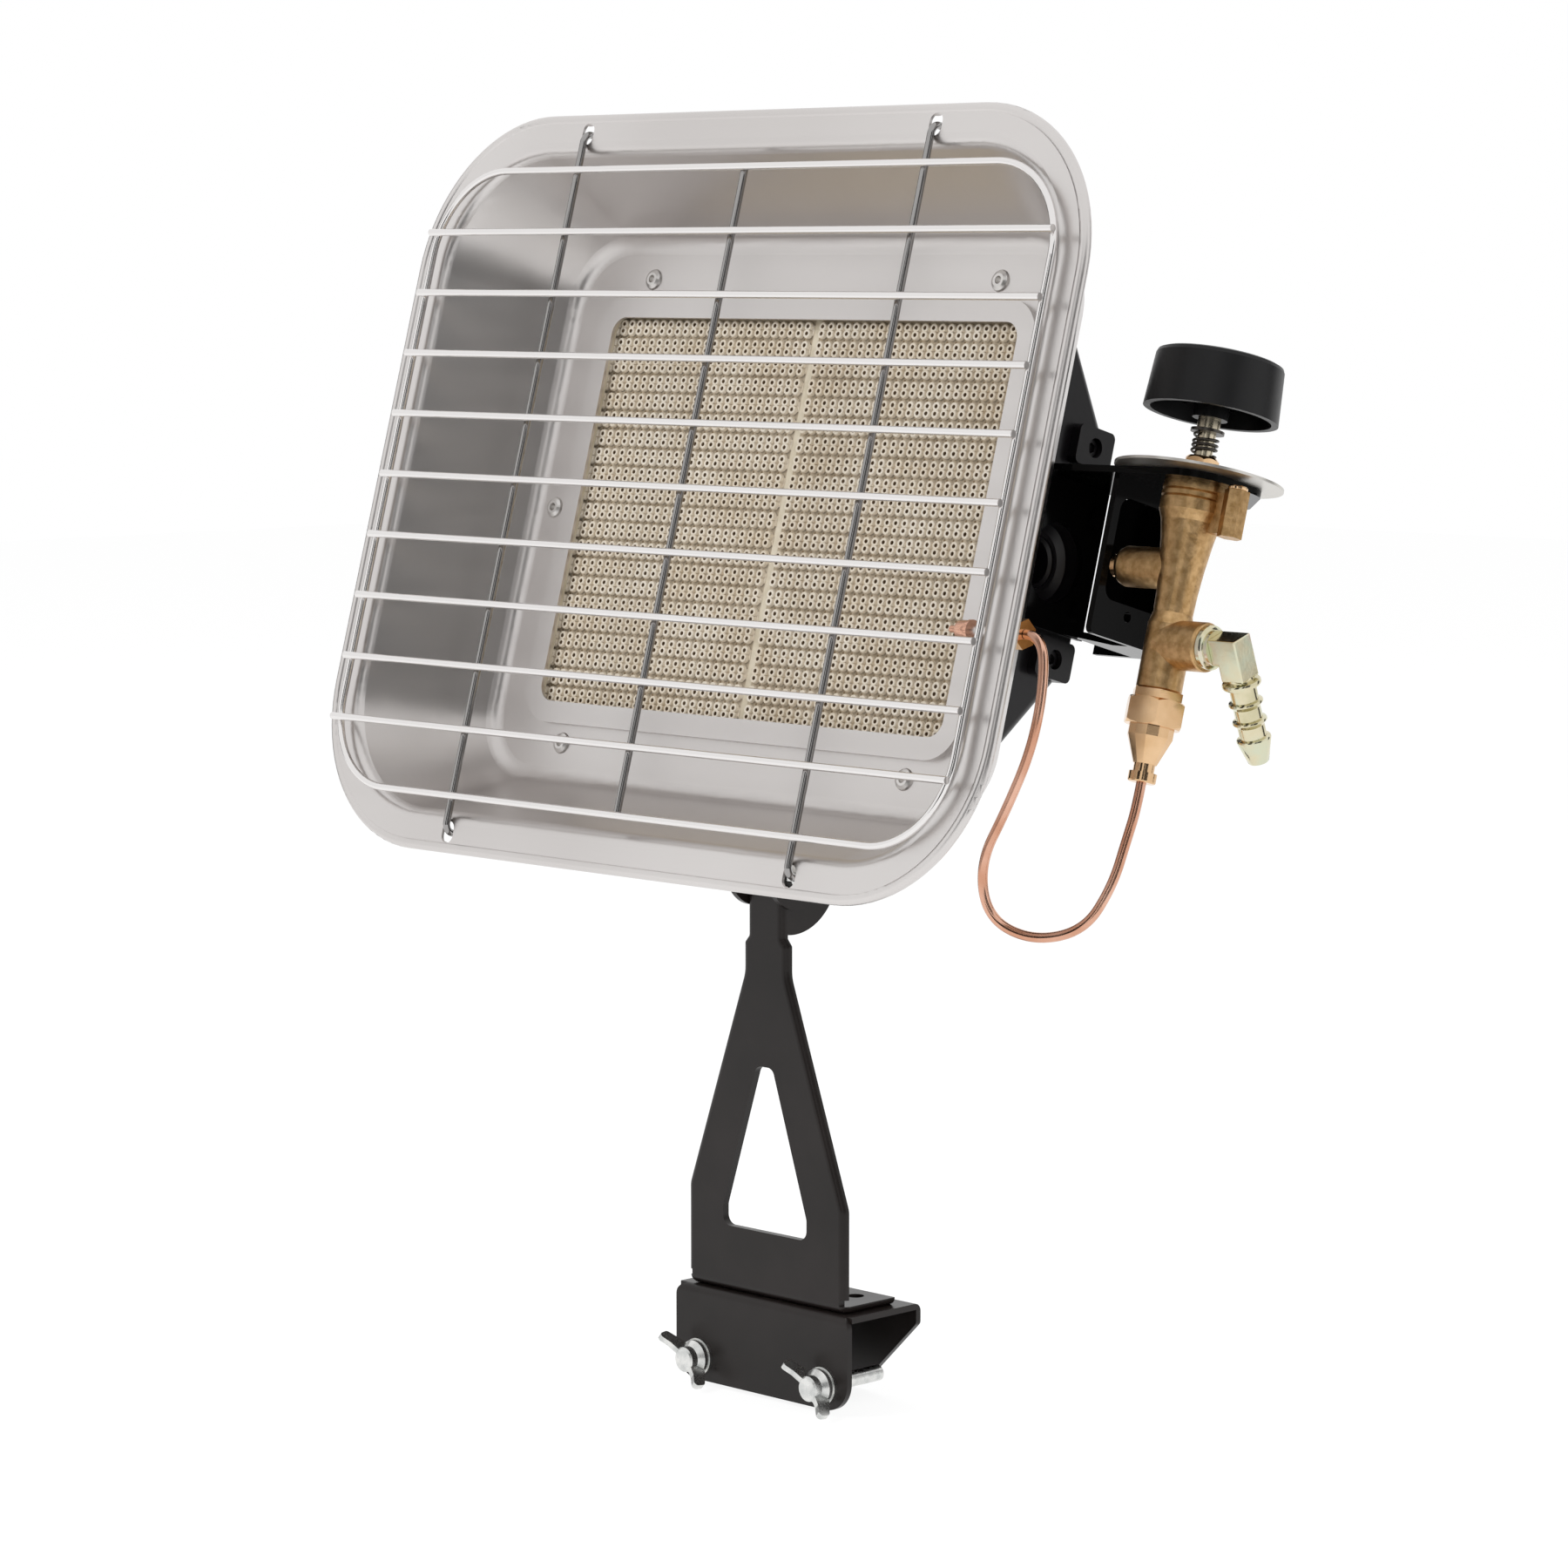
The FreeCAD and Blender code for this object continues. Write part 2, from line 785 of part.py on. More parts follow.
def burner_housing():
    span = 2 * housing_half_width
    shell = prism(housing_profile(0, -housing_half_width), X_AXIS * span)
    shell = filleted(
        shell,
        housing_edge_fillet,
        lambda edge: spread(edge, "x") > housing_half_width - 1e-4
        and (edge_lies(edge, "x", housing_half_width) or edge_lies(edge, "x", -housing_half_width))
        and not edge_lies(edge, "y", housing_front),
    )
    flange = prism(
        rounded_rectangle(
            housing_flange_half_width,
            housing_flange_half_height,
            housing_flange_corner,
            housing_front,
        ),
        Y_AXIS * housing_sheet,
    )
    shell = shell.fuse(flange)
    face = housing_half_width
    for setback, height in boss_places():
        low = V(face - 2, setback - boss_width / 2, height - boss_height / 2)
        high = V(face + boss_rise, setback + boss_width / 2, height + boss_height / 2)
        boss = filleted(box(low, high), boss_corner, lambda edge: edge.Length < boss_rise + 2.1)
        shell = shell.fuse(boss)
    seat_low = V(face - 2, bracket_front_edge + 3, bracket_bottom + 3)
    seat_high = V(seat_face, bracket_rear_edge - 2, shelf_top - bracket_sheet - 3)
    shell = shell.fuse(box(seat_low, seat_high))
    inner_span = span - 2 * housing_sheet
    hollow = prism(housing_profile(housing_sheet, -inner_span / 2), X_AXIS * inner_span)
    shell = shell.cut(hollow)
    axis_low = V(face - 20, valve_axis_back, mixing_axis_height)
    axis_high = V(face + 20, valve_axis_back, mixing_axis_height)
    shell = shell.cut(rod(axis_low, axis_high, mixing_bore_radius + mixing_tube_wall))
    for setback, height in boss_places():
        start = V(face + boss_rise - 4, setback, height)
        shell = shell.cut(rod(start, start + X_AXIS * 10, boss_hole_radius))
    for across, height in rivet_places():
        centre = V(across, housing_front - 1, height)
        shell = shell.cut(rod(centre, centre + Y_AXIS * (housing_sheet + 2), rivet_shank_radius))
    for setback, height in bracket_screw_places():
        start = V(face - 5, setback, height)
        shell = shell.cut(rod(start, start + X_AXIS * 10, bracket_screw_radius / 2))
    return shell


def housing_screws():
    screws = []
    for setback, height in boss_places():
        start = V(housing_half_width + boss_rise - 4, setback, height)
        end = V(housing_half_width + boss_rise - boss_screw_recess, setback, height)
        socket = hexagon(3.0, end - X_AXIS, X_AXIS * 2)
        screws.append(rod(start, end, boss_screw_radius).cut(socket))
    return screws


def bracket_screw_places():
    return [(bracket_screw_setback, bracket_screw_high), (bracket_screw_setback, bracket_screw_low)]


def bracket_screws():
    screws = []
    outer = seat_face + bracket_sheet
    for setback, height in bracket_screw_places():
        start = V(housing_half_width - 4, setback, height)
        head = V(outer, setback, height)
        body = rod(start, head, bracket_screw_radius / 2)
        cap = rod(head, head + X_AXIS * bracket_screw_head_height, bracket_screw_radius)
        screws.append(body.fuse(cap))
    return screws


def mixing_tube():
    """A wide mouth in the housing's wall, stepping down to the tube behind the plates."""
    wall = mixing_tube_wall
    step = mixing_collar_length
    profile = [
        (mixing_bore_radius, 0),
        (mixing_bore_radius + wall, 0),
        (mixing_bore_radius + wall, step),
        (mixing_throat_radius + wall, step),
        (mixing_throat_radius + wall, mixing_tube_length),
        (mixing_throat_radius, mixing_tube_length),
        (mixing_throat_radius, step + wall),
        (mixing_bore_radius, step - wall),
    ]
    return turned(profile, V(seat_face, valve_axis_back, mixing_axis_height), -X_AXIS)


def sheet_box(x0, x1, y0, y1, z0, z1):
    return box(V(x0, y0, z0), V(x1, y1, z1))


def valve_bracket():
    """Folded from one sheet: side plate, shelf, cheek, rear wall and foot."""
    t = bracket_sheet
    shelf_under = shelf_top - t
    side_outer = seat_face + t
    side = sheet_box(
        seat_face, side_outer, bracket_front_edge, bracket_rear_edge, bracket_bottom, shelf_top
    )
    nose_x = valve_axis_across
    nose_far = nose_x + shelf_nose_radius
    shelf_points = [
        V(seat_face, bracket_front_edge, shelf_under),
        V(nose_far, bracket_front_edge - 0.5, shelf_under),
        V(nose_far, valve_axis_back + shelf_nose_radius, shelf_under),
        V(nose_x - shelf_slant, shelf_rear, shelf_under),
        V(seat_face + shelf_slant, shelf_rear, shelf_under),
        V(seat_face, bracket_rear_edge, shelf_under),
    ]
    nose = shelf_nose_radius - 0.5
    shelf = prism(rounded_outline(shelf_points, [1, nose, nose * 0.7, t * 3, t * 1.5, 1]), Z_AXIS * t)
    cheek_inner = cheek_face - t
    cheek_outline = rounded_outline(
        [
            V(cheek_inner, cheek_front, cheek_bottom),
            V(cheek_inner, shelf_rear, cheek_bottom),
            V(cheek_inner, shelf_rear, shelf_top - 1),
            V(cheek_inner, cheek_front, shelf_top - 1),
        ],
        [2, 1, 0, 0],
    )
    cheek = prism(cheek_outline, X_AXIS * t)
    window = rounded_outline(
        [
            V(cheek_inner - 1, cheek_window_front, cheek_window_bottom),
            V(cheek_inner - 1, cheek_window_rear, cheek_window_bottom),
            V(cheek_inner - 1, cheek_window_rear, cheek_window_top),
            V(cheek_inner - 1, cheek_window_front, cheek_window_top),
        ],
        [cheek_window_corner] * 4,
    )
    cheek = cheek.cut(prism(window, X_AXIS * (t + 2)))
    hole = V(cheek_inner - 1, cheek_hole_setback, cheek_hole_height)
    cheek = cheek.cut(rod(hole, hole + X_AXIS * (t + 2), cheek_hole_radius))
    rear_edge = seat_face + 2 * t
    rear = sheet_box(rear_edge, cheek_face, shelf_rear - t, shelf_rear, cheek_bottom, shelf_under + 1)
    foot_points = [
        V(foot_inner_edge, foot_front_inner, cheek_bottom),
        V(cheek_inner - foot_step_width, foot_front_inner + foot_step, cheek_bottom),
        V(cheek_inner + 1, foot_front_inner + foot_step, cheek_bottom),
        V(cheek_inner + 1, shelf_rear - 1, cheek_bottom),
        V(foot_inner_edge, shelf_rear - 1, cheek_bottom),
    ]
    foot = prism(Part.makePolygon(foot_points + foot_points[:1]), Z_AXIS * t)
    bracket = side.fuse([shelf, cheek, rear, foot])
    mouth = V(seat_face - 1, valve_axis_back, mixing_axis_height)
    bracket = bracket.cut(rod(mouth, mouth + X_AXIS * (t + 2), mixing_bore_radius))
    for setback, height in bracket_screw_places():
        start = V(seat_face - 1, setback, height)
        bracket = bracket.cut(rod(start, start + X_AXIS * (t + 2), bracket_screw_radius / 2))
    neck = valve_point(shelf_under - 1)
    bracket = bracket.cut(rod(neck, neck + Z_AXIS * (t + 2), neck_radius))
    return bracket


def valve_point(height):
    return V(valve_axis_across, valve_axis_back, height)


def rounded_boss(base, along, radius, length, edge):
    """A round boss, its rim eased by two short chamfers."""
    profile = [
        (0, 0),
        (radius, 0),
        (radius, length - edge),
        (radius - edge * 0.3, length - edge * 0.3),
        (radius - edge, length),
        (0, length),
    ]
    return turned(profile, base, along)


def valve_body():
    """A cast body: head, tapering barrel, outlet and inlet bosses, and its neck."""
    groove = valve_groove_depth
    head = valve_head_radius
    profile = [
        (0, valve_foot),
        (valve_foot_radius - 0.6, valve_foot),
        (valve_foot_radius, valve_foot + 0.6),
        (valve_foot_radius, valve_foot_top),
    ]
    profile += valve_barrel
    for groove_top in valve_groove_tops:
        profile.append((head, groove_top - valve_groove_width))
        profile.append((head - groove, groove_top - valve_groove_width / 2))
        profile.append((head, groove_top))
    profile += [
        (head - 0.2, valve_top),
        (neck_radius, valve_top),
        (neck_radius, neck_top),
        (0, neck_top),
    ]
    body = turned(profile, valve_point(0), Z_AXIS)
    outlet = rounded_boss(valve_point(outlet_height), -X_AXIS, outlet_radius, outlet_length, 2.0)
    inlet = rounded_boss(valve_point(inlet_height), X_AXIS, inlet_radius, inlet_length, 0.8)
    half = side_web_thickness / 2
    web = box(
        V(valve_axis_across, valve_axis_back - half, side_post_bottom + 1),
        V(valve_axis_across + side_post_offset, valve_axis_back + half, side_post_top - 1),
    )
    post = hexagon(
        side_post_flats,
        valve_point(side_post_bottom) + X_AXIS * side_post_offset,
        Z_AXIS * (side_post_top - side_post_bottom),
        30,
    )
    body = body.fuse([outlet, inlet, web, post])
    hole_bottom = valve_point(stem_bottom - press_travel - 1)
    return body.cut(rod(hole_bottom, valve_point(neck_top + 1), stem_radius + running_gap))


def injector():
    start = V(outlet_end, valve_axis_back, outlet_height)
    end = V(injector_tip, valve_axis_back, outlet_height)
    return rod(end, start, injector_radius).cut(rod(end - X_AXIS, start, injector_bore_radius))


def side_plug():
    base = valve_point(side_post_top) + X_AXIS * side_post_offset
    plug = rod(base, base + Z_AXIS * side_plug_height, side_plug_radius)
    return plug.cut(rod(base, base + Z_AXIS * (side_plug_height + 1), side_plug_radius / 2))


def dial_disc():
    disc = rod(valve_point(dial_bottom), valve_point(gland_bottom), dial_radius)
    return disc.cut(rod(valve_point(dial_bottom - 1), valve_point(gland_bottom + 1), neck_radius))


def gland_nut():
    height = gland_top - gland_bottom
    corner = gland_across_corners / 2
    nut = prism_bar(6, gland_across_corners, valve_point(gland_bottom), Z_AXIS * height, 15)
    outline = [
        (0, 0),
        (corner, 0),
        (corner, height - gland_chamfer),
        (corner - gland_chamfer, height),
        (0, height),
    ]
    nut = nut.common(turned(outline, valve_point(gland_bottom), Z_AXIS))
    nut = nut.cut(rod(valve_point(gland_bottom - 1), valve_point(neck_top), neck_radius))
    bore_bottom = valve_point(neck_top - 1)
    return nut.cut(rod(bore_bottom, valve_point(gland_top + 1), stem_radius + running_gap))


def valve_stem():
    profile = [
        (0, stem_bottom),
        (stem_radius - 0.4, stem_bottom),
        (stem_radius, stem_bottom + 0.4),
        (stem_radius, spring_top + cup_thickness + seat_gap),
        (stem_collar_radius, spring_top + cup_thickness + seat_gap),
        (stem_collar_radius, knob_hub_bottom),
        (stem_radius, knob_hub_bottom),
        (stem_radius, knob_top - knob_roof),
        (0, knob_top - knob_roof),
    ]
    return turned(profile, valve_point(0), Z_AXIS)


def spring_cup():
    profile = [
        (stem_radius + running_gap, spring_top),
        (cup_radius, spring_top),
        (cup_radius, spring_top + cup_thickness),
        (stem_radius + running_gap, spring_top + cup_thickness),
    ]
    return turned(profile, valve_point(0), Z_AXIS)


def helix_point(turn, low, high):
    angle = 2 * math.pi * turn
    height = low + (high - low) * turn / spring_turns
    return valve_point(height) + V(math.cos(angle), math.sin(angle), 0) * spring_radius


def helix_direction(turn, low, high):
    angle = 2 * math.pi * turn
    rise = (high - low) / (2 * math.pi * spring_turns)
    return V(-spring_radius * math.sin(angle), spring_radius * math.cos(angle), rise).normalize()


def biarc(start, leaving, end, arriving):
    """Two arcs that join two points and keep both directions."""
    gap = end - start
    both = leaving + arriving
    a = both.dot(both) - 4
    b = -2 * gap.dot(both)
    c = gap.dot(gap)
    reach = (-b - math.sqrt(b * b - 4 * a * c)) / (2 * a)
    first = start + leaving * reach
    second = end - arriving * reach
    middle = (first + second) * 0.5
    return [corner_arc(start, first, middle), corner_arc(middle, second, end)]


def knob_spring():
    margin = spring_wire_radius + seat_gap
    low = spring_bottom + margin
    high = spring_top - margin
    edges = []
    quarters = int(round(spring_turns * 4))
    for i in range(quarters):
        start = i * spring_turns / quarters
        end = (i + 1) * spring_turns / quarters
        edges += biarc(
            helix_point(start, low, high),
            helix_direction(start, low, high),
            helix_point(end, low, high),
            helix_direction(end, low, high),
        )
    print("spring: least gap between turns %.2f mm" % least_coil_gap(low, high))
    leaving = helix_direction(0, low, high)
    return tube_along(edges, spring_wire_radius, helix_point(0, low, high), leaving)


def least_coil_gap(low, high):
    steps = 24
    points = [helix_point(i / steps, low, high) for i in range(int(spring_turns * steps) + 1)]
    least = 1e9
    for i, first in enumerate(points):
        for second in points[i + steps // 2:]:
            least = min(least, first.distanceToPoint(second))
    return least - 2 * spring_wire_radius


def knob():
    """A moulded cap, open below, with a hub and thin ribs out to its skirt."""
    edge = knob_edge
    outer = turned(
        [
            (0, knob_bottom),
            (knob_bottom_radius, knob_bottom),
            (knob_top_radius, knob_top - edge),
            (knob_top_radius - edge * 0.3, knob_top - edge * 0.3),
            (knob_top_radius - edge, knob_top),
            (0, knob_top),
        ],
        valve_point(0),
        Z_AXIS,
    )
    roof = knob_top - knob_roof
    hollow = turned(
        [
            (0, knob_bottom - 1),
            (knob_bottom_radius - knob_wall, knob_bottom - 1),
            (knob_top_radius - knob_wall, roof),
            (0, roof),
        ],
        valve_point(0),
        Z_AXIS,
    )
    cap = outer.cut(hollow)
    hub = rod(valve_point(knob_hub_bottom), valve_point(roof), knob_hub_radius)
    ribs = []
    for i in range(knob_rib_count):
        rib = box(
            V(0, -knob_rib_thickness / 2, knob_bottom + knob_rib_recess),
            V(knob_top_radius - knob_wall / 2, knob_rib_thickness / 2, roof + 0.5),
        )
        rib.rotate(V(0, 0, 0), Z_AXIS, 360.0 * (i + 0.5) / knob_rib_count)
        rib.translate(V(valve_axis_across, valve_axis_back, 0))
        ribs.append(rib)
    cap = cap.fuse([hub] + ribs)
    return cap.cut(rod(valve_point(knob_hub_bottom - 1), valve_point(roof), stem_radius))


def union_collar():
    height = Z_AXIS * (valve_foot - union_collar_bottom)
    return prism_bar(6, 2 * union_collar_radius, valve_point(union_collar_bottom), height, 15)


def union_nut():
    height = union_collar_bottom - union_nut_bottom
    base = valve_point(union_nut_bottom)
    nut = hexagon(union_nut_flats, base, Z_AXIS * height, 15)
    corner = union_nut_flats / math.cos(math.pi / 6) / 2
    chamfer = turned(
        [
            (0, 0),
            (corner - union_nut_chamfer, 0),
            (corner, union_nut_chamfer * 0.75),
            (corner, height - union_nut_chamfer * 0.75),
            (corner - union_nut_chamfer, height),
            (0, height),
        ],
        base,
        Z_AXIS,
    )
    return nut.common(chamfer)


def faceted_ring(radius, height):
    points = []
    for i in range(cone_sides):
        angle = 2 * math.pi * i / cone_sides
        points.append(valve_point(height) + V(math.cos(angle), math.sin(angle), 0) * radius)
    return Part.makePolygon(points + points[:1])


def magnet_cone():
    shoulder = union_nut_bottom - cone_shoulder
    sections = [
        faceted_ring(cone_top_radius, union_nut_bottom),
        faceted_ring(cone_top_radius, shoulder),
        faceted_ring(cone_bottom_radius, cone_bottom),
    ]
    cone = Part.makeLoft(sections, True, True)
    return cone.fuse(rod(valve_point(lead_nut_top), valve_point(cone_bottom), cone_neck_radius))


def lead_nut():
    length = lead_nut_top - lead_nut_bottom
    return rounded_boss(valve_point(lead_nut_top), -Z_AXIS, lead_nut_radius, length, lead_nut_edge)


def thermocouple_lead():
    radii = cord_radii(lead_route)
    print("lead: radii " + ", ".join("%.1f" % radius for radius in radii) + " mm")
    edges = bent_path(lead_route, radii)
    length = sum(edge.Length for edge in edges)
    start = lead_route[0]
    lead = tube_along(edges, lead_radius, start, lead_route[1] - start)
    share = lead.Volume / (math.pi * lead_radius ** 2 * length)
    print("lead: length %.1f mm, volume against section times length %.4f" % (length, share))
    return lead


def probe_point(across):
    return V(across, probe_setback, probe_height)


def thermocouple_probe():
    sleeve_start = probe_point(probe_tip + probe_tip_length)
    sleeve = rod(sleeve_start, probe_point(probe_nut_start), probe_sleeve_radius)
    return sleeve.fuse(rod(probe_point(probe_tip), sleeve_start, probe_tip_radius))


def probe_nut():
    along = X_AXIS * (probe_nut_end - probe_nut_start)
    return hexagon(probe_nut_flats, probe_point(probe_nut_start), along, 0)


def barb_profile():
    profile = [
        (barb_bore_radius, 0),
        (barb_neck_radius, 0),
        (barb_neck_radius, barb_collar_place - barb_collar_half * 1.4),
        (barb_collar_radius, barb_collar_place - barb_collar_half),
        (barb_collar_radius, barb_collar_place + barb_collar_half),
        (barb_neck_radius, barb_collar_place + barb_collar_half * 1.4),
    ]
    for i in range(barb_crest_count):
        crest = barb_first_crest + i * barb_crest_pitch
        profile.append((barb_neck_radius, crest - barb_slope))
        profile.append((barb_crest_radius, crest - barb_crest_half))
        profile.append((barb_crest_radius, crest + barb_crest_half))
        profile.append((barb_neck_radius, crest + barb_slope))
    profile.append((barb_neck_radius, barb_length - barb_tip_taper))
    profile.append((barb_tip_radius, barb_length))
    profile.append((barb_bore_radius, barb_length))
    return profile


def hose_elbow():
    """A collar, a mitred block and a barbed tail that leans back and down."""
    centre = V(elbow_axis_across, valve_axis_back, inlet_height)
    lean = math.radians(barb_tilt)
    direction = V(0, math.sin(lean), -math.cos(lean))
    collar_start = V(inlet_end, valve_axis_back, inlet_height)
    collar_end = V(elbow_collar_end, valve_axis_back, inlet_height)
    collar = rod(collar_start, collar_end, elbow_collar_radius)
    half = elbow_block / 2
    across = box(V(elbow_collar_end, -half, -half), V(elbow_axis_across + half, half, half))
    across.rotate(V(0, 0, 0), X_AXIS, barb_tilt)
    across.translate(V(0, valve_axis_back, inlet_height))
    corner = centre + X_AXIS * half - direction * half
    mitre = Part.makeBox(20, 40, 20, V(0, -20, 0))
    mitre.rotate(V(0, 0, 0), Y_AXIS, 45)
    mitre.rotate(V(0, 0, 0), X_AXIS, barb_tilt)
    mitre.translate(corner - X_AXIS * (half * 0.9))
    barb = turned(barb_profile(), centre, direction)
    elbow = collar.fuse([across.cut(mitre), barb])
    return elbow.cut(rod(centre, centre + direction * (barb_length + 1), barb_bore_radius))


def bend_edge(solid, radius, line_y, line_z):
    """Rounds the fold that runs along X through one point of the section."""
    return filleted(
        solid,
        radius,
        lambda edge: edge_lies(edge, "y", line_y) and edge_lies(edge, "z", line_z),
    )


def clamp_bracket():
    """A channel folded from one sheet, open below, with a tapered rear wall."""
    t = clamp_sheet
    half = clamp_half_width
    front = clamp_front
    rear = clamp_rear
    channel = box(V(-half, front, -clamp_front_drop), V(half, rear, t))
    channel = bend_edge(channel, clamp_bend, front, t)
    channel = bend_edge(channel, clamp_bend, rear, t)
    inside = box(V(-half - 1, front + t, -clamp_front_drop - 1), V(half + 1, rear - t, 0))
    channel = channel.cut(inside)
    front_face = rounded_outline(
        [
            V(-half, front - 1, -clamp_front_drop),
            V(half, front - 1, -clamp_front_drop),
            V(half, front - 1, t),
            V(-half, front - 1, t),
        ],
        [clamp_bottom_corner, clamp_bottom_corner, clamp_top_corner, clamp_top_corner],
    )
    front_keep = prism(front_face, Y_AXIS * (t + 1.1))
    foot = clamp_rear_foot_half_width
    rear_face = rounded_outline(
        [
            V(-half, rear - t - 0.1, t),
            V(-half, rear - t - 0.1, -clamp_rear_shoulder),
            V(-foot, rear - t - 0.1, -clamp_front_drop),
            V(foot, rear - t - 0.1, -clamp_front_drop),
            V(half, rear - t - 0.1, -clamp_rear_shoulder),
            V(half, rear - t - 0.1, t),
        ],
        [0, clamp_shoulder_corner, clamp_rear_corner, clamp_rear_corner, clamp_shoulder_corner, 0],
    )
    rear_keep = prism(rear_face, Y_AXIS * (t + 1.1))
    middle = box(V(-half, front + t, -clamp_front_drop - 1), V(half, rear - t, t))
    channel = channel.common(front_keep.fuse([rear_keep, middle]))
    for across in (-screw_spacing / 2, screw_spacing / 2):
        start = V(across, front - 1, -screw_drop)
        channel = channel.cut(rod(start, start + Y_AXIS * (t + 2), screw_thread_radius + running_gap))
    for across in (-base_hole_spacing / 2, base_hole_spacing / 2):
        start = V(across, base_hole_line, -1)
        channel = channel.cut(rod(start, start + Z_AXIS * (t + 2), base_hole_radius))
    return channel


def weld_nuts():
    nuts = []
    half = weld_nut_side / 2
    back = clamp_front + clamp_sheet
    for across in (-screw_spacing / 2, screw_spacing / 2):
        nut = box(
            V(across - half, back, -screw_drop - half),
            V(across + half, back + weld_nut_thickness, -screw_drop + half),
        )
        start = V(across, back - 1, -screw_drop)
        end = start + Y_AXIS * (weld_nut_thickness + 2)
        nuts.append(nut.cut(rod(start, end, screw_thread_radius + running_gap)))
    return nuts


def wing_pair(hub_base, hub_front, hub_length, tip):
    """A winged head, turned about +Z from its seat at z=0, with two swept wings."""
    hub = turned(
        [
            (0, 0),
            (hub_base, 0),
            (hub_base, hub_length * 0.28),
            (hub_front, hub_length * 0.55),
            (hub_front, hub_length - 0.5),
            (hub_front - 0.6, hub_length),
            (0, hub_length),
        ],
        V(0, 0, 0),
        Z_AXIS,
    )
    half = wing_thickness / 2
    low = hub_length * 0.2
    top = hub_length + wing_sweep
    points = [
        V(hub_front * 0.5, -half, low),
        V(hub_base + 0.6, -half, low + 0.4),
        V(tip, -half, top - wing_height * 0.8),
        V(tip - 0.6, -half, top),
        V(tip * 0.6, -half, hub_length + 0.9),
        V(hub_front * 0.5, -half, hub_length - 0.8),
    ]
    outline = rounded_outline(points, [0, 2.0, 1.4, 1.2, 2.0, 0])
    wing = prism(outline, Y_AXIS * wing_thickness)
    other = wing.copy()
    other.rotate(V(0, 0, 0), Z_AXIS, 180)
    return hub.fuse([wing, other])


def wing_screw(across):
    head = wing_pair(
        wing_hub_base_radius, wing_hub_front_radius, wing_hub_length, wing_tip_radius
    )
    shank = turned(
        [
            (0, 0),
            (screw_thread_radius, 0),
            (screw_thread_radius, -screw_reach - washer_thickness + 1.2),
            (screw_thread_radius - 1.2, -screw_reach - washer_thickness),
            (0, -screw_reach - washer_thickness),
        ],
        V(0, 0, 0),
        Z_AXIS,
    )
    screw = head.fuse(shank)
    seat = V(across, clamp_front - washer_thickness, -screw_drop)
    turn = FreeCAD.Rotation(Z_AXIS, clamp_wing_angle)
    screw.Placement = FreeCAD.Placement(seat, FreeCAD.Rotation(X_AXIS, 90).multiply(turn))
    return screw


def screw_washer(across):
    start = V(across, clamp_front - washer_thickness, -screw_drop)
    end = V(across, clamp_front, -screw_drop)
    washer = rod(start, end, washer_radius)
    return washer.cut(rod(start - Y_AXIS, end + Y_AXIS, screw_thread_radius + running_gap))


def post_window():
    front = post_front - 1
    apex = window_apex_half_width
    points = [
        V(-window_half_width, front, window_bottom_height),
        V(window_half_width, front, window_bottom_height),
        V(window_half_width, front, window_side_height),
        V(apex, front, window_apex_height),
        V(-apex, front, window_apex_height),
        V(-window_half_width, front, window_side_height),
    ]
    small = window_corner
    radii = [small, small, small, apex * 0.8, apex * 0.8, small]
    return prism(rounded_outline(points, radii), Y_AXIS * (post_sheet + 2))


def post_outline():
    front = post_front
    low = post_base
    half = post_half_width
    neck = post_neck_half_width
    ear = ear_half_width
    top = pivot_height - spacer_radius - post_web_gap
    jog_top = post_jog_height + post_jog_rise
    points = [
        V(-half, front, low),
        V(half, front, low),
        V(half, front, post_shoulder_height),
        V(neck, front, post_neck_height),
        V(neck, front, post_jog_height),
        V(ear, front, jog_top),
        V(ear, front, top),
        V(-ear, front, top),
        V(-ear, front, jog_top),
        V(-neck, front, post_jog_height),
        V(-neck, front, post_neck_height),
        V(-half, front, post_shoulder_height),
    ]
    shoulder = post_shoulder_corner
    bend = post_neck_corner
    jog = post_jog_corner
    return rounded_outline(points, [0, 0, shoulder, bend, jog, jog, 0, 0, jog, jog, bend, shoulder])


def ear_side():
    """One ear, seen from the side: the front fold and a round lobe about the pivot."""
    lobe = Part.makeCylinder(
        ear_lobe_radius, post_sheet, V(ear_half_width - post_sheet, pivot_line, pivot_height), X_AXIS
    )
    reach = ear_lobe_radius + 1
    low = V(-reach, post_front - reach, pivot_height - reach)
    return lobe.cut(box(low, V(reach, post_front, pivot_height + reach)))


def stand_post():
    """One sheet: a foot folded back below, a tapering web and two ears above."""
    t = post_sheet
    web = prism(post_outline(), Y_AXIS * t)
    web = web.cut(post_window())
    foot = box(
        V(-post_half_width, post_front, post_base),
        V(post_half_width, post_front + post_flange_depth, post_base + t),
    )
    ears = [ear_side(), mirrored(ear_side())]
    post = web.fuse([foot] + ears).removeSplitter()
    post = bend_edge(post, post_bend, post_front, post_base)
    post = filleted(
        post,
        ear_bend,
        lambda edge: edge_lies(edge, "y", post_front)
        and (edge_lies(edge, "x", ear_half_width) or edge_lies(edge, "x", -ear_half_width)),
    )
    for edge in (-post_half_width, post_half_width - post_relief):
        low = V(edge, post_front - 1, post_base + t + face_gap)
        post = post.cut(box(low, low + V(post_relief, t + 2, post_relief)))
    for across in (-base_hole_spacing / 2, base_hole_spacing / 2):
        start = V(across, base_hole_line, post_base - 1)
        post = post.cut(rod(start, start + Z_AXIS * (t + 2), base_hole_radius))
    reach = X_AXIS * (ear_half_width + 1)
    return post.cut(rod(pivot - reach, pivot + reach, tilt_bolt_radius + running_gap))


def tilt_spacer():
    half = ear_half_width - post_sheet
    start = pivot - X_AXIS * half
    end = pivot + X_AXIS * half
    return rod(start, end, spacer_radius).cut(rod(start, end, tilt_bolt_radius + running_gap))


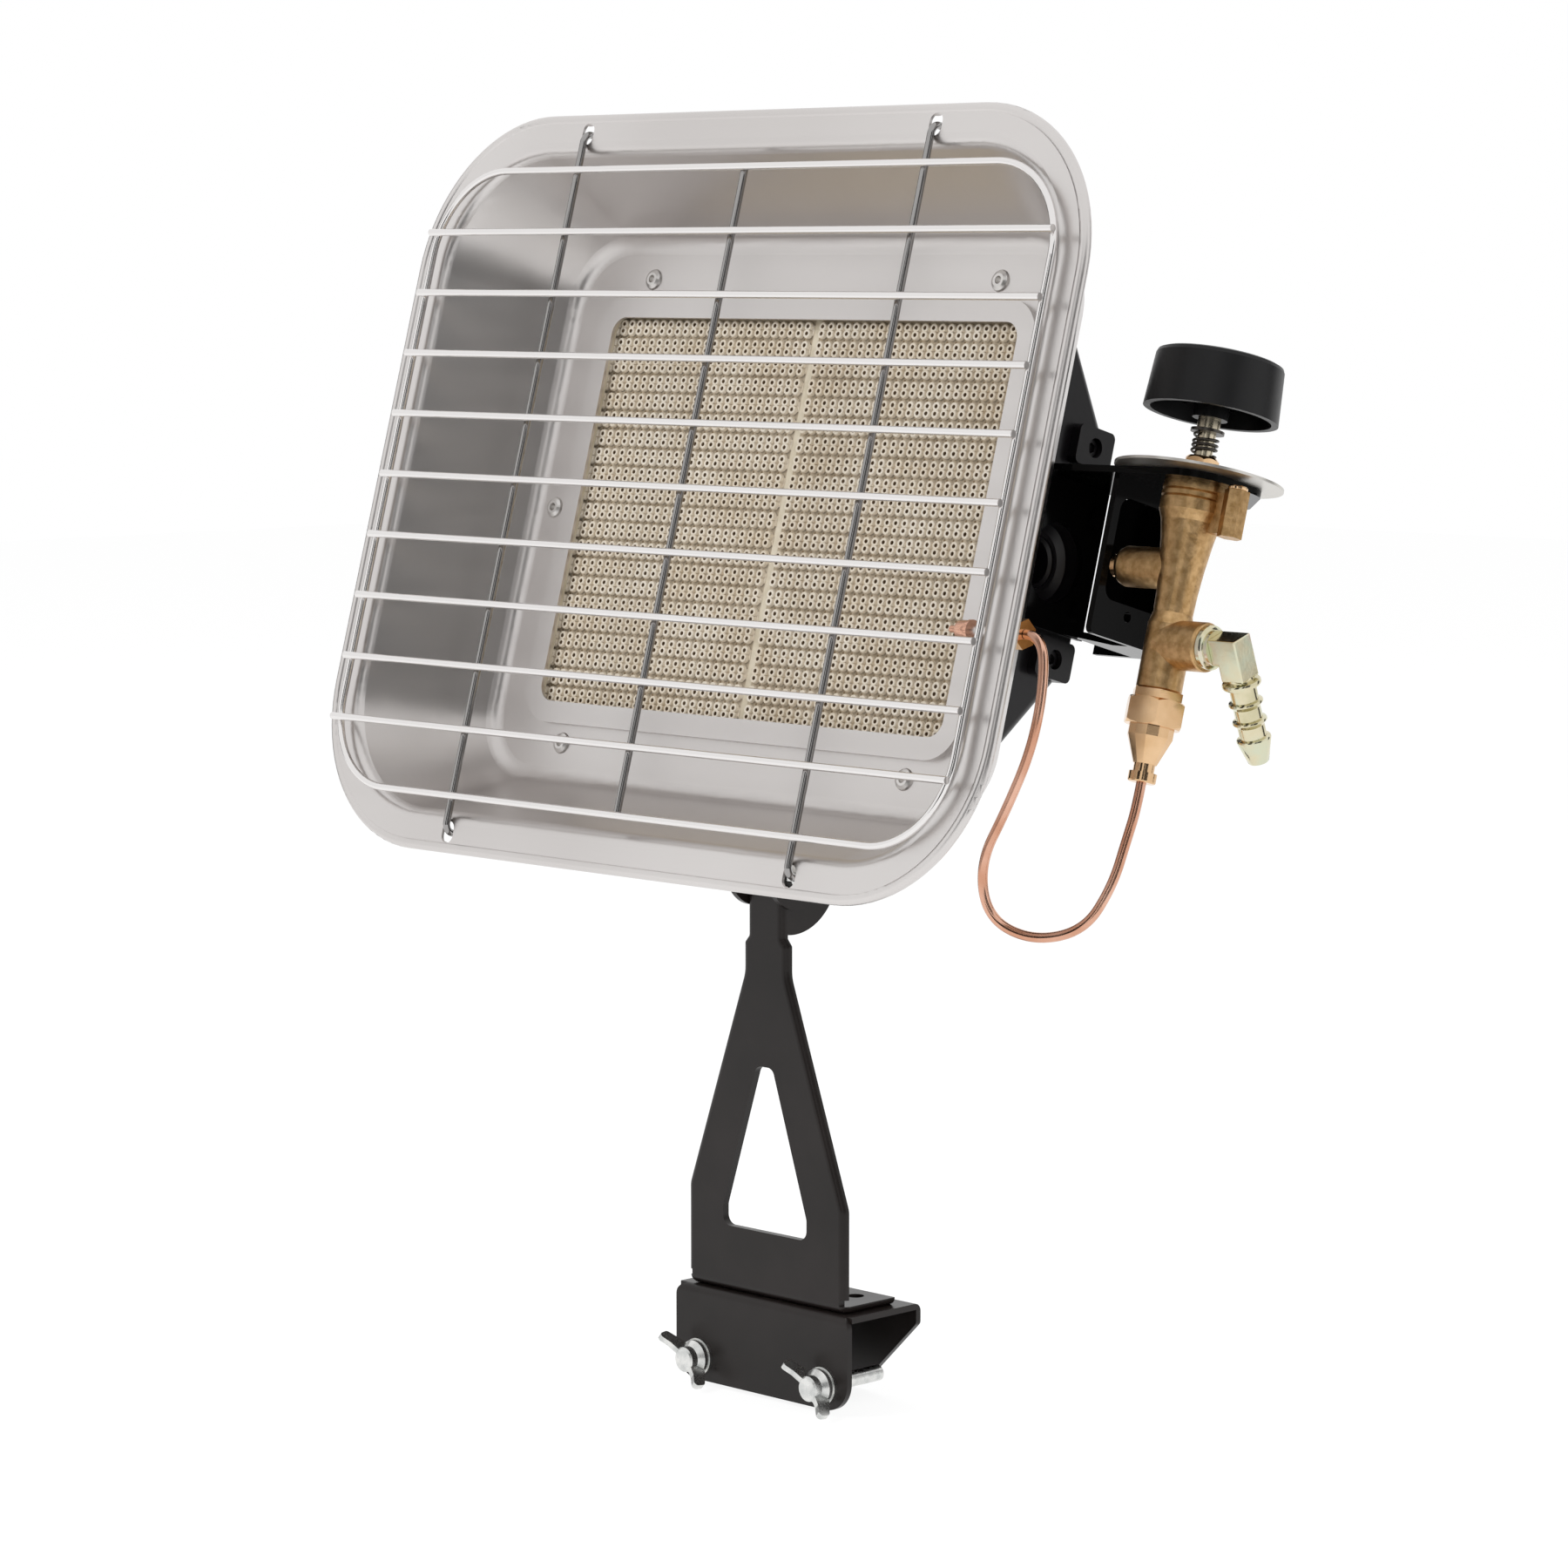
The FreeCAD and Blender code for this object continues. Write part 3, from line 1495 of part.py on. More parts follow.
def tilt_bolt():
    head_seat = -(hinge_outer + face_gap)
    end = hinge_outer + face_gap + washer_thickness + tilt_nut_hub_length + tilt_bolt_spare
    head = hexagon(
        tilt_bolt_head_flats,
        pivot + X_AXIS * (head_seat - tilt_bolt_head_height),
        X_AXIS * tilt_bolt_head_height,
    )
    shank = rod(pivot + X_AXIS * head_seat, pivot + X_AXIS * end, tilt_bolt_radius)
    return head.fuse(shank)


def tilt_washer():
    start = pivot + X_AXIS * (hinge_outer + face_gap)
    end = start + X_AXIS * washer_thickness
    washer = rod(start, end, washer_radius)
    return washer.cut(rod(start - X_AXIS, end + X_AXIS, tilt_bolt_radius + running_gap))


def tilt_wing_nut():
    nut = wing_pair(
        tilt_nut_base_radius, tilt_nut_front_radius, tilt_nut_hub_length, tilt_nut_wing_radius
    )
    bore = rod(V(0, 0, -1), V(0, 0, tilt_nut_hub_length + 1), tilt_bolt_radius + running_gap)
    nut = nut.cut(bore)
    seat = pivot + X_AXIS * (hinge_outer + face_gap + washer_thickness)
    turn = FreeCAD.Rotation(Z_AXIS, 90)
    nut.Placement = FreeCAD.Placement(seat, FreeCAD.Rotation(Z_AXIS, X_AXIS).multiply(turn))
    return nut


def slope_point(along, lift):
    """A point on the housing's lower sloping face, lifted off it."""
    knee = V(0, housing_knee_depth, -housing_knee_half_height)
    heel = V(0, housing_heel_depth, -housing_heel_half_height)
    direction = (heel - knee).normalize()
    outward = V(0, direction.z, -direction.y)
    return knee + direction * along + outward * lift


def hinge_bracket():
    """A saddle on the housing's lower slope, with an ear down each side of the post."""
    t = hinge_sheet
    near = slope_point(hinge_foot_start, 0)
    far = slope_point(hinge_foot_start + hinge_foot_run, 0)
    near_low = slope_point(hinge_foot_start, t)
    far_low = slope_point(hinge_foot_start + hinge_foot_run, t)
    half = hinge_foot_width / 2
    foot_points = [V(-half, p.y, p.z) for p in (near, far, far_low, near_low)]
    foot = prism(Part.makePolygon(foot_points + foot_points[:1]), X_AXIS * hinge_foot_width)
    ears = []
    for inner in (hinge_inner, -hinge_outer):
        ear = Part.makeCylinder(hinge_lobe_radius, t, V(inner, head_pivot.y, head_pivot.z), X_AXIS)
        ears.append(ear)
        ears.append(prism(hinge_ear_outline(inner, near, far), X_AXIS * t))
    bracket = foot.fuse(ears)
    reach = X_AXIS * (hinge_outer + 1)
    return bracket.cut(rod(head_pivot - reach, head_pivot + reach, tilt_bolt_radius + running_gap))


def hinge_ear_outline(across, near, far):
    """The ear's straight sides, tangent to the lobe round the pivot."""
    centre = V(across, head_pivot.y, head_pivot.z)
    top_near = V(across, near.y, near.z)
    top_far = V(across, far.y, far.z)
    points = [top_near, top_far]
    for top, side in ((top_far, -1), (top_near, 1)):
        away = top - centre
        distance = away.Length
        angle = math.acos(hinge_lobe_radius / distance)
        heading = math.atan2(away.z, away.y) + side * angle
        points.append(centre + V(0, math.cos(heading), math.sin(heading)) * hinge_lobe_radius)
    return Part.makePolygon(points + points[:1])


def save(name, shapes):
    solids = []
    for shape in shapes:
        solids += shape.Solids
    whole = solids[0] if len(solids) == 1 else Part.makeCompound(solids)
    for solid in solids:
        if not solid.isValid() or solid.Volume <= 0:
            print("not valid: " + name)
    whole.exportStep("parts/" + name + ".step")
    print("%-24s solids %d  volume %9.1f" % (name, len(solids), whole.Volume))


def stand_pieces():
    left = -screw_spacing / 2
    right = screw_spacing / 2
    return {
        "clamp_bracket": [clamp_bracket()],
        "clamp_weld_nuts": weld_nuts(),
        "stand_post": [stand_post()],
        "tilt_spacer": [tilt_spacer()],
        "tilt_bolt": [tilt_bolt()],
        "tilt_washer": [tilt_washer()],
        "tilt_wing_nut": [tilt_wing_nut()],
        "wing_screw_left": [wing_screw(left)],
        "wing_screw_right": [wing_screw(right)],
        "screw_washer_left": [screw_washer(left)],
        "screw_washer_right": [screw_washer(right)],
    }


def head_pieces():
    plate = ceramic_plate()
    return {
        "hinge_bracket": [hinge_bracket()],
        "reflector_dish": [reflector_dish()],
        "dish_rivets": [rivet(across, height) for across, height in rivet_places()],
        "burner_housing": [burner_housing()],
        "housing_screws": housing_screws(),
        "plate_gasket": [plate_gasket()],
        "ceramic_plate_right": [plate],
        "ceramic_plate_left": [mirrored(plate)],
        "seam_strip": [seam_strip()],
        "mixing_tube": [mixing_tube()],
        "guard_ring": [guard_ring()],
        "guard_bars": guard_bars(),
        "guard_uprights": guard_uprights(),
        "valve_bracket": [valve_bracket()],
        "bracket_screws": bracket_screws(),
        "dial_disc": [dial_disc()],
        "valve_body": [valve_body()],
        "injector": [injector()],
        "side_plug": [side_plug()],
        "gland_nut": [gland_nut()],
        "knob_spring": [knob_spring()],
        "spring_cup": [spring_cup()],
        "valve_stem": [valve_stem()],
        "knob": [knob()],
        "union_collar": [union_collar()],
        "union_nut": [union_nut()],
        "magnet_cone": [magnet_cone()],
        "lead_nut": [lead_nut()],
        "thermocouple_lead": [thermocouple_lead()],
        "thermocouple_probe": [thermocouple_probe()],
        "probe_nut": [probe_nut()],
        "hose_elbow": [hose_elbow()],
    }


os.makedirs("parts", exist_ok=True)
for name, shapes in stand_pieces().items():
    save(name, shapes)
for name, shapes in head_pieces().items():
    save(name, [in_head(shape) for shape in shapes])
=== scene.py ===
import bmesh
import bpy
import math
from itertools import product
from mathutils import Matrix, Vector

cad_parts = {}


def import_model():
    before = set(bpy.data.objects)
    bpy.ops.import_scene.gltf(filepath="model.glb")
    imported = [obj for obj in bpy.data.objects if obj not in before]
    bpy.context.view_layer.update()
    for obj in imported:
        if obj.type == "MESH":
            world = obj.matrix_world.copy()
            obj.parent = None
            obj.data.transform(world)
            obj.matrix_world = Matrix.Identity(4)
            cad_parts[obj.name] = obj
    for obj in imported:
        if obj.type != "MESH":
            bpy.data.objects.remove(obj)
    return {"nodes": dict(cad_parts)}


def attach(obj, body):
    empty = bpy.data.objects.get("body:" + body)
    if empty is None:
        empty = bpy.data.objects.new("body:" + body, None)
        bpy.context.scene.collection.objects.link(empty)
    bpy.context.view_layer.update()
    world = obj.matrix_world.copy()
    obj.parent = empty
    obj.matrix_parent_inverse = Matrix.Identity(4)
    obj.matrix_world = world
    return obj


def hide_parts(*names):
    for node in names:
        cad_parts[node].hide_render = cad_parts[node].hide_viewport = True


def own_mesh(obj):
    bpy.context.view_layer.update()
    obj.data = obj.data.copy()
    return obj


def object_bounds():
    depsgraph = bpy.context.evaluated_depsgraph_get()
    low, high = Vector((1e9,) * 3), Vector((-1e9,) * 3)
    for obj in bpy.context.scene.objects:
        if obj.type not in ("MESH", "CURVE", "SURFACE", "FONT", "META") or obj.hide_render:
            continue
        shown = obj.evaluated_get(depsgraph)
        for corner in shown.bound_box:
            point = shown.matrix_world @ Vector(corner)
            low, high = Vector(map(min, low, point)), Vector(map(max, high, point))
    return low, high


# A clamp-on radiant gas heater, dressed for a still against white.

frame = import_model()
cad_low, cad_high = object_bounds()

MM = 0.001

# The head's own frame: X across, Y back from the rim, Z up, leaning back on its pivot
REST_TILT = math.radians(15.6)
PIVOT = Vector((0, -9.6, 138.2)) * MM
HEAD_PIVOT = Vector((0, 70.0, -105.3)) * MM
HEAD_TURN = Matrix.Rotation(-REST_TILT, 4, "X")
HEAD = Matrix.Translation(PIVOT) @ HEAD_TURN @ Matrix.Translation(-HEAD_PIVOT)

# Camera
CAMERA_PLACE = (1.0424, -1.0391, 0.3264)
CAMERA_PITCH = math.radians(90 - 6.286)
CAMERA_YAW = math.radians(45.254)
CAMERA_LENS = 108.31

# Burner plates. Lengths from here to the hose elbow's are millimetres in the head's frame.
PLATE_FRONT = 41.2
PLATE_BACK = 49.7
PLATE_WIDTH = 91.7
PLATE_HALF_HEIGHT = 65.2
SEAM_HALF = 1.3
RIDGE_COUNT = 21
RIDGE_PITCH = 6.1
RIDGE_HALF = 1.6
VALLEY_DEPTH = 1.6

# Ports of the burner plates
PORT_COLUMNS = 25
PORT_PITCH = 3.66
PORT_ROW_GAP = 2.3
PORT_RADIUS = 0.66
PORT_DEPTH = 2.0
PORT_TAPER = 0.85
PORT_SIDES = 16
COLLAR_RADIUS = 1.42
COLLAR_FOOT = 1.6
COLLAR_RISE = 1.3
CROWN_SHIFT = 0.1
SHOULDER_DROP = 0.15
LIP_DROP = 0.12
PIT_RADIUS = 0.42
PIT_SIDES = 8
PIT_LIFT = 0.05

# Gas valve
VALVE_ACROSS = 152.0
VALVE_BACK = 58.0
POST_OFFSET = 15.5
POST_TOP = 19.3
SPRING_LOW = 29.15
SPRING_HIGH = 35.55
SPRING_RADIUS = 3.6
SPRING_WIRE = 0.4
SPRING_TURNS = 3.75
SPRING_STEPS = 28
SPRING_SIDES = 10
SPRING_EASE = 0.055

# Rear wall of the valve's bracket, beside the housing
REAR_LOW = (97.5, 88.0, -26.6)
REAR_HIGH = (105.2, 90.0, 21.5)

# Thermocouple
LEAD_RADIUS = 1.5
PROBE_BACK = 25.0
PROBE_HEIGHT = -32.7
TIP_START = 97
SLEEVE_START = 106
SLEEVE_RADIUS = 1.5
SLEEVE_LENGTH = 13.4

# Hose elbow
ELBOW_ACROSS = 177.1
ELBOW_HEIGHT = -27.0
ELBOW_HALF = 3.9
ELBOW_START = 171.0
ELBOW_DROP = 9.0
COLLAR_REACH = 3.5
EDGE_ROUND = 0.45
BARB_TILT = math.radians(35)
BARB_NECK = 4.0
BARB_CREST = 5.1
BARB_CRESTS = (16.6, 22.3, 28.0)
BARB_END = 35.2
BARB_HOLLOW = 6

# White backdrop: its light, how bright it is when seen, and the share of the floor that glows
WORLD_LIGHT = 0.45
WORLD_SEEN = 1.0
FLOOR_SHARE = 0.8
FLOOR_GLOW = 1.12

# Which material a face of a burner plate takes: the ceramic, the valley ceramic darkened as painted
# shade, or the painted shade of ports and pits
CERAMIC, SHADED_VALLEY, PAINTED_SHADE = range(3)

# A box whose corners run by x, then y, then z
BOX_SIDES = [(0, 1, 3, 2), (4, 6, 7, 5), (0, 4, 5, 1), (2, 3, 7, 6), (0, 2, 6, 4), (1, 5, 7, 3)]


def head_point(x, y, z):
    """A place in the head's frame, in millimetres, as a place in the part's."""
    return HEAD @ (Vector((x, y, z)) * MM)


def head_direction(x, y, z):
    return (HEAD.to_3x3() @ Vector((x, y, z))).normalized()


class Finish:
    """A node material built up from a plain shader."""

    def __init__(self, name, colour, roughness, metallic=0.0):
        self.material = bpy.data.materials.new(name)
        self.material.use_nodes = True
        self.nodes = self.material.node_tree.nodes
        self.links = self.material.node_tree.links
        self.shader = self.nodes["Principled BSDF"]
        self.set("Base Color", (*colour, 1))
        self.set("Roughness", roughness)
        self.set("Metallic", metallic)
        self.bump = None

    def set(self, name, value):
        self.shader.inputs[name].default_value = value

    def place(self, stretch=(1, 1, 1)):
        source = self.nodes.new("ShaderNodeTexCoord")
        mapping = self.nodes.new("ShaderNodeMapping")
        mapping.inputs["Scale"].default_value = stretch
        self.links.new(source.outputs["Object"], mapping.inputs["Vector"])
        return mapping.outputs["Vector"]

    def noise(self, scale, detail=3.0, stretch=(1, 1, 1)):
        node = self.nodes.new("ShaderNodeTexNoise")
        node.inputs["Scale"].default_value = scale
        node.inputs["Detail"].default_value = detail
        self.links.new(self.place(stretch), node.inputs["Vector"])
        return node.outputs["Fac"]

    def ramp(self, value, stops):
        node = self.nodes.new("ShaderNodeValToRGB")
        elements = node.color_ramp.elements
        while len(elements) < len(stops):
            elements.new(0.5)
        for element, (place, colour) in zip(elements, stops):
            element.position = place
            element.color = (*colour, 1)
        self.links.new(value, node.inputs["Fac"])
        return node.outputs["Color"]

    def mottle(self, scale, low, high, detail=3.0, stretch=(1, 1, 1)):
        colour = self.ramp(self.noise(scale, detail, stretch), [(0.35, low), (0.65, high)])
        self.links.new(colour, self.shader.inputs["Base Color"])
        return self

    def vary_roughness(self, scale, low, high, stretch=(1, 1, 1)):
        node = self.nodes.new("ShaderNodeMapRange")
        node.inputs["To Min"].default_value = low
        node.inputs["To Max"].default_value = high
        self.links.new(self.noise(scale, 4.0, stretch), node.inputs["Value"])
        self.links.new(node.outputs["Result"], self.shader.inputs["Roughness"])
        return self

    def grain(self, scale, strength, depth=0.0002, stretch=(1, 1, 1), detail=3.0):
        node = self.nodes.new("ShaderNodeBump")
        node.inputs["Strength"].default_value = strength
        node.inputs["Distance"].default_value = depth
        self.links.new(self.noise(scale, detail, stretch), node.inputs["Height"])
        if self.bump:
            self.links.new(self.bump, node.inputs["Normal"])
        self.bump = node.outputs["Normal"]
        self.links.new(self.bump, self.shader.inputs["Normal"])
        return self


def stand_paint():
    finish = Finish("stand_paint", (0.014, 0.011, 0.01), 0.3)
    finish.set("Specular IOR Level", 0.28)
    finish.mottle(40, (0.011, 0.0085, 0.0075), (0.017, 0.013, 0.012))
    finish.vary_roughness(60, 0.26, 0.36)
    return finish.grain(1400, 0.12, 0.0001)


def housing_paint():
    finish = Finish("housing_paint", (0.006, 0.005, 0.006), 0.3)
    finish.set("Specular IOR Level", 0.4)
    finish.vary_roughness(50, 0.27, 0.35)
    return finish.grain(500, 0.1, 0.0002)


# Black paint made darker and nearly without reflection: painted shade on the valve's bracket.
def shaded_bracket_paint():
    finish = Finish("shaded_bracket_paint", (0.002, 0.002, 0.002), 0.1)
    finish.set("Specular IOR Level", 0.07)
    finish.vary_roughness(45, 0.07, 0.13)
    return finish.grain(350, 0.05, 0.0001)


def dish_steel():
    finish = Finish("dish_steel", (0.64, 0.615, 0.6), 0.3, 1.0)
    finish.mottle(7, (0.62, 0.592, 0.578), (0.69, 0.664, 0.65), 2.0, (1, 1, 0.5))
    finish.vary_roughness(30, 0.27, 0.35, (0.6, 1, 6))
    return finish.grain(260, 0.12, 0.0001, (0.15, 1, 3.5))


def guard_chrome():
    finish = Finish("guard_chrome", (0.78, 0.76, 0.75), 0.07, 1.0)
    finish.vary_roughness(120, 0.05, 0.09)
    return finish.grain(900, 0.05, 0.0001)


# The guard's chrome made much darker: painted shade on the uprights behind the bars.
def shaded_upright_chrome():
    finish = Finish("shaded_upright_chrome", (0.34, 0.33, 0.325), 0.06, 1.0)
    finish.vary_roughness(120, 0.04, 0.08)
    return finish


def bright_zinc():
    finish = Finish("bright_zinc", (0.72, 0.72, 0.7), 0.26, 1.0)
    finish.mottle(300, (0.6, 0.61, 0.6), (0.8, 0.8, 0.78))
    finish.vary_roughness(400, 0.2, 0.36)
    return finish.grain(1100, 0.15, 0.0001)


def satin_disc():
    finish = Finish("satin_disc", (0.66, 0.64, 0.6), 0.34, 1.0)
    finish.vary_roughness(90, 0.3, 0.4)
    return finish.grain(700, 0.08, 0.0001, (3, 0.4, 1))


def rivet_metal():
    finish = Finish("rivet_metal", (0.68, 0.66, 0.64), 0.3, 1.0)
    finish.vary_roughness(300, 0.24, 0.38)
    return finish.grain(900, 0.08, 0.0001)


def cast_brass():
    finish = Finish("cast_brass", (0.5, 0.31, 0.14), 0.38, 1.0)
    finish.mottle(420, (0.44, 0.265, 0.11), (0.66, 0.43, 0.21), 5.0)
    finish.vary_roughness(220, 0.32, 0.44)
    return finish.grain(900, 0.45, 0.0003, detail=5.0)


def turned_brass():
    finish = Finish("turned_brass", (0.72, 0.47, 0.26), 0.14, 1.0)
    finish.mottle(90, (0.66, 0.42, 0.22), (0.79, 0.54, 0.32))
    finish.vary_roughness(260, 0.1, 0.2)
    return finish.grain(900, 0.08, 0.0001, (0.4, 0.4, 5))


def copper():
    finish = Finish("copper", (0.74, 0.42, 0.3), 0.16, 1.0)
    finish.mottle(70, (0.62, 0.32, 0.21), (0.8, 0.5, 0.38), 4.0)
    finish.vary_roughness(200, 0.12, 0.24)
    return finish.grain(600, 0.08, 0.0001)


def yellow_zinc():
    finish = Finish("yellow_zinc", (0.62, 0.58, 0.38), 0.24, 1.0)
    colours = [
        (0.3, (0.56, 0.52, 0.33)),
        (0.45, (0.7, 0.64, 0.45)),
        (0.58, (0.64, 0.66, 0.5)),
        (0.7, (0.74, 0.6, 0.5)),
    ]
    colour = finish.ramp(finish.noise(95, 3.0), colours)
    finish.links.new(colour, finish.shader.inputs["Base Color"])
    finish.vary_roughness(240, 0.1, 0.2)
    return finish.grain(800, 0.08, 0.0001)


def spring_steel():
    finish = Finish("spring_steel", (0.1, 0.09, 0.08), 0.3, 1.0)
    finish.vary_roughness(300, 0.24, 0.38)
    return finish


def pale_stem():
    finish = Finish("pale_stem", (0.6, 0.53, 0.4), 0.24, 1.0)
    finish.vary_roughness(300, 0.18, 0.32)
    return finish


def knob_plastic():
    finish = Finish("knob_plastic", (0.004, 0.004, 0.0045), 0.36)
    finish.set("Specular IOR Level", 0.3)
    finish.vary_roughness(180, 0.33, 0.44)
    return finish.grain(1500, 0.12, 0.0001)


def burner_ceramic():
    finish = Finish("burner_ceramic", (0.8, 0.72, 0.6), 0.9)
    finish.mottle(55, (0.75, 0.66, 0.53), (0.84, 0.77, 0.66), 4.0)
    return finish.grain(1500, 0.3, 0.0002)


# The plate's ceramic darkened: painted shade in the valleys between the ridges.
def shaded_valley_ceramic():
    finish = Finish("shaded_valley_ceramic", (0.5, 0.42, 0.31), 0.95)
    finish.mottle(80, (0.44, 0.36, 0.26), (0.57, 0.49, 0.38), 4.0)
    return finish.grain(1400, 0.3, 0.0002)


# Dark brown ceramic: painted shade in the ports' walls and ends and in the valley pits.
def port_painted_shade():
    finish = Finish("port_painted_shade", (0.24, 0.17, 0.1), 0.95)
    finish.mottle(200, (0.2, 0.14, 0.08), (0.3, 0.22, 0.14))
    return finish


def fibre():
    finish = Finish("fibre", (0.7, 0.63, 0.5), 0.95)
    finish.mottle(140, (0.62, 0.55, 0.42), (0.76, 0.69, 0.56), 5.0)
    return finish.grain(900, 0.4, 0.0003)


def seen_rays(tree):
    """One for camera, glossy and transmission rays, and nought for the others."""
    rays = tree.nodes.new("ShaderNodeLightPath")
    plain = tree.nodes.new("ShaderNodeMath")
    plain.operation = "MAXIMUM"
    tree.links.new(rays.outputs["Is Camera Ray"], plain.inputs[0])
    tree.links.new(rays.outputs["Is Glossy Ray"], plain.inputs[1])
    seen = tree.nodes.new("ShaderNodeMath")
    seen.operation = "MAXIMUM"
    tree.links.new(plain.outputs[0], seen.inputs[0])
    tree.links.new(rays.outputs["Is Transmission Ray"], seen.inputs[1])
    return seen.outputs[0]


def pale_floor():
    """Matt white that keeps a soft share of the shadow and shows as white elsewhere."""
    finish = Finish("pale_floor", (0.93, 0.93, 0.93), 0.9)
    tree = finish.material.node_tree
    share = tree.nodes.new("ShaderNodeMath")
    share.operation = "MULTIPLY"
    share.inputs[1].default_value = FLOOR_SHARE
    tree.links.new(seen_rays(tree), share.inputs[0])
    glow = tree.nodes.new("ShaderNodeEmission")
    glow.inputs["Strength"].default_value = FLOOR_GLOW
    mix = tree.nodes.new("ShaderNodeMixShader")
    tree.links.new(share.outputs[0], mix.inputs[0])
    tree.links.new(finish.shader.outputs[0], mix.inputs[1])
    tree.links.new(glow.outputs[0], mix.inputs[2])
    tree.links.new(mix.outputs[0], tree.nodes["Material Output"].inputs["Surface"])
    return finish


def dress_nodes():
    """Gives each CAD node its finish, some with painted shade, and returns the two finishes that other
    pieces share: the brass and the bracket's paint with its painted shade.
    """
    bracket = shaded_bracket_paint().material
    brass = turned_brass().material
    wears = {
        stand_paint().material: ["clamp_bracket", "stand_post", "hinge_bracket"],
        housing_paint().material: ["burner_housing", "housing_screws", "mixing_tube"],
        # The bracket's extra-dark paint is painted shade.
        bracket: ["valve_bracket", "bracket_screws"],
        bright_zinc().material: [
            "clamp_weld_nuts",
            "tilt_spacer",
            "tilt_bolt",
            "tilt_washer",
            "tilt_wing_nut",
            "wing_screw_left",
            "wing_screw_right",
            "screw_washer_left",
            "screw_washer_right",
        ],
        spring_steel().material: ["spring_cup"],
        pale_stem().material: ["valve_stem"],
        dish_steel().material: ["reflector_dish"],
        rivet_metal().material: ["dish_rivets"],
        guard_chrome().material: ["guard_ring", "guard_bars"],
        # The uprights' darker chrome is painted shade.
        shaded_upright_chrome().material: ["guard_uprights"],
        fibre().material: ["seam_strip", "plate_gasket"],
        satin_disc().material: ["dial_disc"],
        cast_brass().material: ["valve_body"],
        brass: [
            "injector",
            "gland_nut",
            "union_collar",
            "union_nut",
            "magnet_cone",
            "lead_nut",
            "probe_nut",
        ],
        knob_plastic().material: ["knob"],
    }
    for material, names in wears.items():
        for name in names:
            mesh = frame["nodes"][name].data
            mesh.materials.clear()
            mesh.materials.append(material)
    return brass, bracket


def add_mesh(name, points, faces, materials, body, kinds=None):
    mesh = bpy.data.meshes.new(name)
    mesh.from_pydata(points, [], faces)
    for material in materials:
        mesh.materials.append(material)
    if kinds:
        mesh.polygons.foreach_set("material_index", kinds)
    mesh.update()
    piece = bpy.data.objects.new(name, mesh)
    bpy.context.scene.collection.objects.link(piece)
    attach(piece, body)
    return piece


def box_corners(low, high):
    return list(product(*zip(low, high)))


class PlateMesh:
    """Collects the points and faces of one burner plate."""

    def __init__(self):
        self.points = []
        self.faces = []
        self.kinds = []

    def add(self, place):
        self.points.append(head_point(*place))
        return len(self.points) - 1

    def face(self, corners, kind):
        self.faces.append(corners)
        self.kinds.append(kind)

    def box(self, low, high, kind):
        corners = [self.add(corner) for corner in box_corners(low, high)]
        for side in BOX_SIDES:
            self.face([corners[i] for i in side], kind)

    def ring(self, across, height, radius, depth, limit):
        """A circle of points, cut flat where it meets the port beside it."""
        found = []
        for i in range(PORT_SIDES):
            angle = 2 * math.pi * i / PORT_SIDES
            lift = radius * math.sin(angle)
            if limit > 0:
                lift = min(lift, PORT_ROW_GAP / 2)
            else:
                lift = max(lift, -PORT_ROW_GAP / 2)
            found.append(self.add((across + radius * math.cos(angle), depth, height + lift)))
        return found

    def bridge(self, first, second, kind):
        for i in range(PORT_SIDES):
            j = (i + 1) % PORT_SIDES
            self.face([first[i], first[j], second[j], second[i]], kind)

    def port(self, across, height, limit):
        """A collar on the ridge round one port, with the port's wall and end darkened as painted shade.
        """
        foot = self.ring(across, height, COLLAR_FOOT, PLATE_FRONT + COLLAR_RISE, limit)
        shoulder = self.ring(across, height, COLLAR_RADIUS, PLATE_FRONT + SHOULDER_DROP, limit)
        crown_radius = (COLLAR_RADIUS + PORT_RADIUS) / 2 + CROWN_SHIFT
        crown = self.ring(across, height, crown_radius, PLATE_FRONT, limit)
        lip = self.ring(across, height, PORT_RADIUS, PLATE_FRONT + LIP_DROP, limit)
        bottom = self.ring(across, height, PORT_RADIUS * PORT_TAPER, PLATE_FRONT + PORT_DEPTH, limit)
        self.bridge(foot, shoulder, CERAMIC)
        self.bridge(shoulder, crown, CERAMIC)
        self.bridge(crown, lip, CERAMIC)
        self.bridge(lip, bottom, PAINTED_SHADE)
        self.face(list(bottom), PAINTED_SHADE)

    def pit(self, across, height):
        """A small flat dark disc just in front of the valley between two ridges: painted shade standing
        for a pit.
        """
        depth = PLATE_FRONT + VALLEY_DEPTH - PIT_LIFT
        points = []
        for i in range(PIT_SIDES):
            angle = 2 * math.pi * i / PIT_SIDES
            place = (across + PIT_RADIUS * math.cos(angle), depth, height + PIT_RADIUS * math.sin(angle))
            points.append(self.add(place))
        self.face(points, PAINTED_SHADE)


